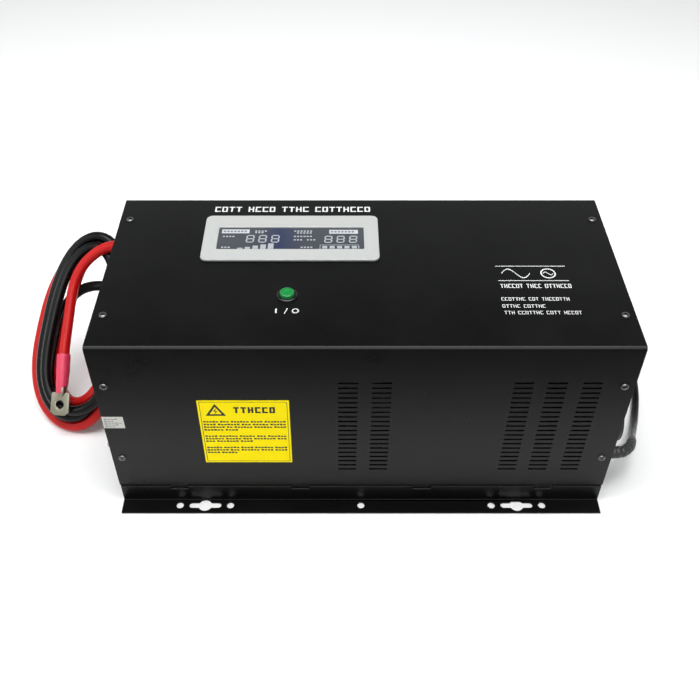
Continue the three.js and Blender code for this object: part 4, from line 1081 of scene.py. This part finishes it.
def wire(name, paths, radius, closed, material):
    """Bent wire: every path is a list of points, swept round at one radius and made into one mesh piece."""
    bm = bmesh.new()
    for path in paths:
        data = bpy.data.curves.new(name + "_line", "CURVE")
        data.dimensions = "3D"
        data.bevel_depth = radius
        data.bevel_resolution = 5
        data.use_fill_caps = True
        spline = data.splines.new("POLY")
        spline.points.add(len(path) - 1)
        for point, place in zip(spline.points, path):
            point.co = (*place, 1)
        spline.use_cyclic_u = closed
        line = placed(name + "_line", data)
        mesh = baked(line)
        bm.from_mesh(mesh)
        bpy.data.meshes.remove(mesh)
    return add_piece(name, bm, material, smooth_below=50)


guard_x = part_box("fan_guard")[1].x - 2.4 * MM
rings = []
for ring_radius in (10, 16.5, 23, 29.5, 36):
    rings.append([Vector((guard_x, fan_y + ring_radius * MM * math.cos(a),
                          fan_z + ring_radius * MM * math.sin(a)))
                  for a in (2 * math.pi * k / 64 for k in range(64))])
guard_rings = wire("fan_guard_rings", rings, 0.8 * MM, True, chrome)
screw_place = 35.75 * MM
arms = []
for a, b in ((1, 1), (1, -1)):
    foot = right_end + 0.9 * MM
    ends = [Vector((foot, fan_y + s * a * screw_place, fan_z + s * b * screw_place)) for s in (-1, 1)]
    inward = [Vector((foot, fan_y + s * a * screw_place * 0.93, fan_z + s * b * screw_place * 0.93))
              for s in (-1, 1)]
    raised = [Vector((guard_x - 1.5 * MM, fan_y + s * a * screw_place * 0.84,
                      fan_z + s * b * screw_place * 0.84)) for s in (-1, 1)]
    arms.append([ends[0], inward[0], raised[0], raised[1], inward[1], ends[1]])
guard_arms = wire("fan_guard_arms", arms, 0.85 * MM, False, chrome)
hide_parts("fan_guard")
washers = bmesh.new()
fan_screw = cross_head_mesh("fan_screw_head", 3.4, 2.0, black_zinc)
for k, (a, b) in enumerate(((1, 1), (1, -1), (-1, -1), (-1, 1))):
    spot = Vector((right_end + 1.7 * MM, fan_y + a * screw_place, fan_z + b * screw_place))
    lathe(washers, [(-1.7, 3.9), (-1.6, 4.1), (-0.2, 4.1), (0, 3.9)], spot, (1, 0, 0), sides=32)
    head = set_head(f"fan_screw_{k + 1}", fan_screw, facing(spot, (1, 0, 0))
                    @ Matrix.Rotation(0.7 * k, 4, "Z"))
add_piece("fan_guard_washers", washers, chrome)

# ---- Mains outlets: two moulded round wells with spring earth clips and brass contacts ----
# Black nylon, fine sparked texture. Each is held by its flange; the clips stand on the well's flanks.
for node in ("outlet_front", "outlet_rear"):
    dress(node, nylon, 0.35)
    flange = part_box(node)[1].x
    middle_y, middle_z = middle(node)[1:]
    clips, contacts = bmesh.new(), bmesh.new()
    for side in (-1, 1):
        foot = Vector((flange - 16.6 * MM, middle_y, middle_z + side * 15.4 * MM))
        path = resampled([foot + Vector((d * MM, 0, -side * inwards * MM)) for d, inwards in
                          ((0, 0), (5, 0.3), (9, 1.6), (12, 1.4), (14.2, -0.6))], 12)
        for p, q in zip(path, path[1:]):
            centre, along = (p + q) / 2, q - p
            tilt = Matrix((along.normalized(), Vector((0, 1, 0)),
                           along.normalized().cross(Vector((0, 1, 0))))).transposed().to_4x4()
            bmesh.ops.create_cube(clips, size=1, matrix=Matrix.Translation(centre) @ tilt
                                  @ Matrix.Diagonal((along.length * 1.08, 4.4 * MM, 0.7 * MM, 1)))
        hole_place = Vector((flange - 17 * MM, middle_y + side * 9.5 * MM, middle_z))
        lathe(contacts, [(-7, 2.45), (-2.2, 2.45), (-2.0, 2.2), (-2.2, 1.9), (-7, 1.9)], hole_place,
              (1, 0, 0), sides=28)
    add_piece(node + "_earth_clips", clips, nickel)
    add_piece(node + "_contacts", contacts, nickel)
    for k, (a, b) in enumerate(((1, 1), (-1, -1))):
        spot = Vector((right_end + 3.3 * MM, middle_y + a * 19.5 * MM, middle_z + b * 19.5 * MM))
        set_head(f"{node}_screw_{k + 1}", fan_screw,
                         facing(spot, (1, 0, 0)) @ Matrix.Rotation(0.9 * k, 4, "Z"))

# ---- Resettable breaker: black body and hexagon nut, with a red push button ----
# The button pops out when it trips and is pushed back in to reset.
dress("breaker_body", nylon, 0.3)
low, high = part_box("breaker_button")
breaker_place = Vector((high.x, *middle("breaker_button")[1:]))
# The same polished moulding as the power button, in red.
red_abs = textured("glossy_red_abs", "#b01318", 0.24, 260.0, 2.0, sheen=(0.18, 0.34), ior=1.52)
push = bmesh.new()
lathe(push, [((low.x - high.x) / MM, 4.2), (-8, 4.4), (-1.3, 4.4), (-0.6, 4.25), (-0.15, 3.8), (0, 3.1),
             (-0.15, 1.6), (-0.2, 0.1)],
      breaker_place, (1, 0, 0), sides=48)
breaker_push = add_piece("breaker_push_button", push, red_abs, "breaker_cap")
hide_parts("breaker_button")

# ---- Earth stud: M6 zinc-plated, with a nut and a toothed washer, below the left end's slots ----
# Bright zinc with a faint blue cast; the thread shows as fine rings of light.
zinc = textured("bright_zinc_plate", "#b4b7ba", 0.28, 600.0, 4.0,
                tint=((0.35, "#9ea2a6"), (0.65, "#c6c9cb")), metallic=1.0)
stud_place = Vector((left_end, *middle("earth_stud")[1:]))
stud = bmesh.new()
reach = (left_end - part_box("earth_stud")[0].x) / MM
turns_of_thread = []
for k in range(int((reach + 5.5) / 0.5)):
    turns_of_thread += [(-6 + 0.5 * k, 2.95), (-6 + 0.5 * k + 0.25, 2.6)]
lathe(stud, [*turns_of_thread, (reach - 0.3, 2.5), (reach, 2.1)], stud_place, (-1, 0, 0), sides=28)
lathe(stud, [(0.02, 6.6), (0.1, 6.9), (0.9, 6.9), (1.0, 6.6)], stud_place, (-1, 0, 0), sides=96, teeth=24,
      tooth=0.7)
thread = add_piece("earth_stud_thread", stud, zinc)
nut = cut_sheet("earth_stud_nut", [hexagon(6.3), circle(0, 0, 2.7)[::-1]], 4.6, 0.5,
                lifted(facing(stud_place, (-1, 0, 0)), 1.0), zinc)
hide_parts("earth_stud")

# ---- Inside: boards, heat sinks, capacitors, busbars and the toroidal transformer ----
# Seen only as shapes through the slots: green solder mask, extruded aluminium, wound tape, bare copper.


def metal(name, colour, light, roughness, scale, stretch=(1, 1, 1)):
    """Bare metal whose tone runs in streaks along its extrusion or rolling direction."""
    material, surface = new_material(name, colour, roughness, metallic=1.0)
    place = add_node(material, "ShaderNodeMapping", Vector=object_place(material), Scale=stretch)
    streaks = noise(material, scale, 4.0, Vector=place.outputs[0])
    tinted(material, surface, streaks, (0.35, colour), (0.7, light))
    return material


def moulded(name, colour, other, roughness, scale):
    """A dielectric skin with a soft mottle in its colour, as from resin, tape or print below it."""
    return textured(name, colour, roughness, scale, 3.0, tint=((0.4, colour), (0.6, other)))


solder_mask = moulded("green_solder_mask", "#174a2d", "#1f5c39", 0.35, 180.0)
winding_tape = moulded("polyester_winding_tape", "#4a3a18", "#5a4820", 0.32, 90.0)
shrink_film = moulded("blue_shrink_film", "#1d2740", "#27334f", 0.25, 120.0)
extrusion = metal("extruded_aluminium", "#a9acaf", "#c3c6c8", 0.38, 160.0, (0.05, 1, 1))
bare_copper = metal("bare_copper", "#a8663a", "#c07c48", 0.36, 140.0, (1, 1, 0.1))
for node in ("power_board", "filter_board", "display_board"):
    dress(node, solder_mask, 0.15)
for node in ("heat_sink_front", "heat_sink_rear"):
    dress(node, extrusion, 0.25)
for node in ("capacitor_1", "capacitor_2"):
    dress(node, shrink_film, 0.4)
for node in ("positive_busbar", "negative_busbar"):
    dress(node, bare_copper, 0.3)
dress("transformer_core", winding_tape, 1.5)
for node in ("transformer_washer", "transformer_bolt"):
    dress(node, zinc, 0.4)


# ---- Bring the scene up to date ----
bpy.context.view_layer.update()
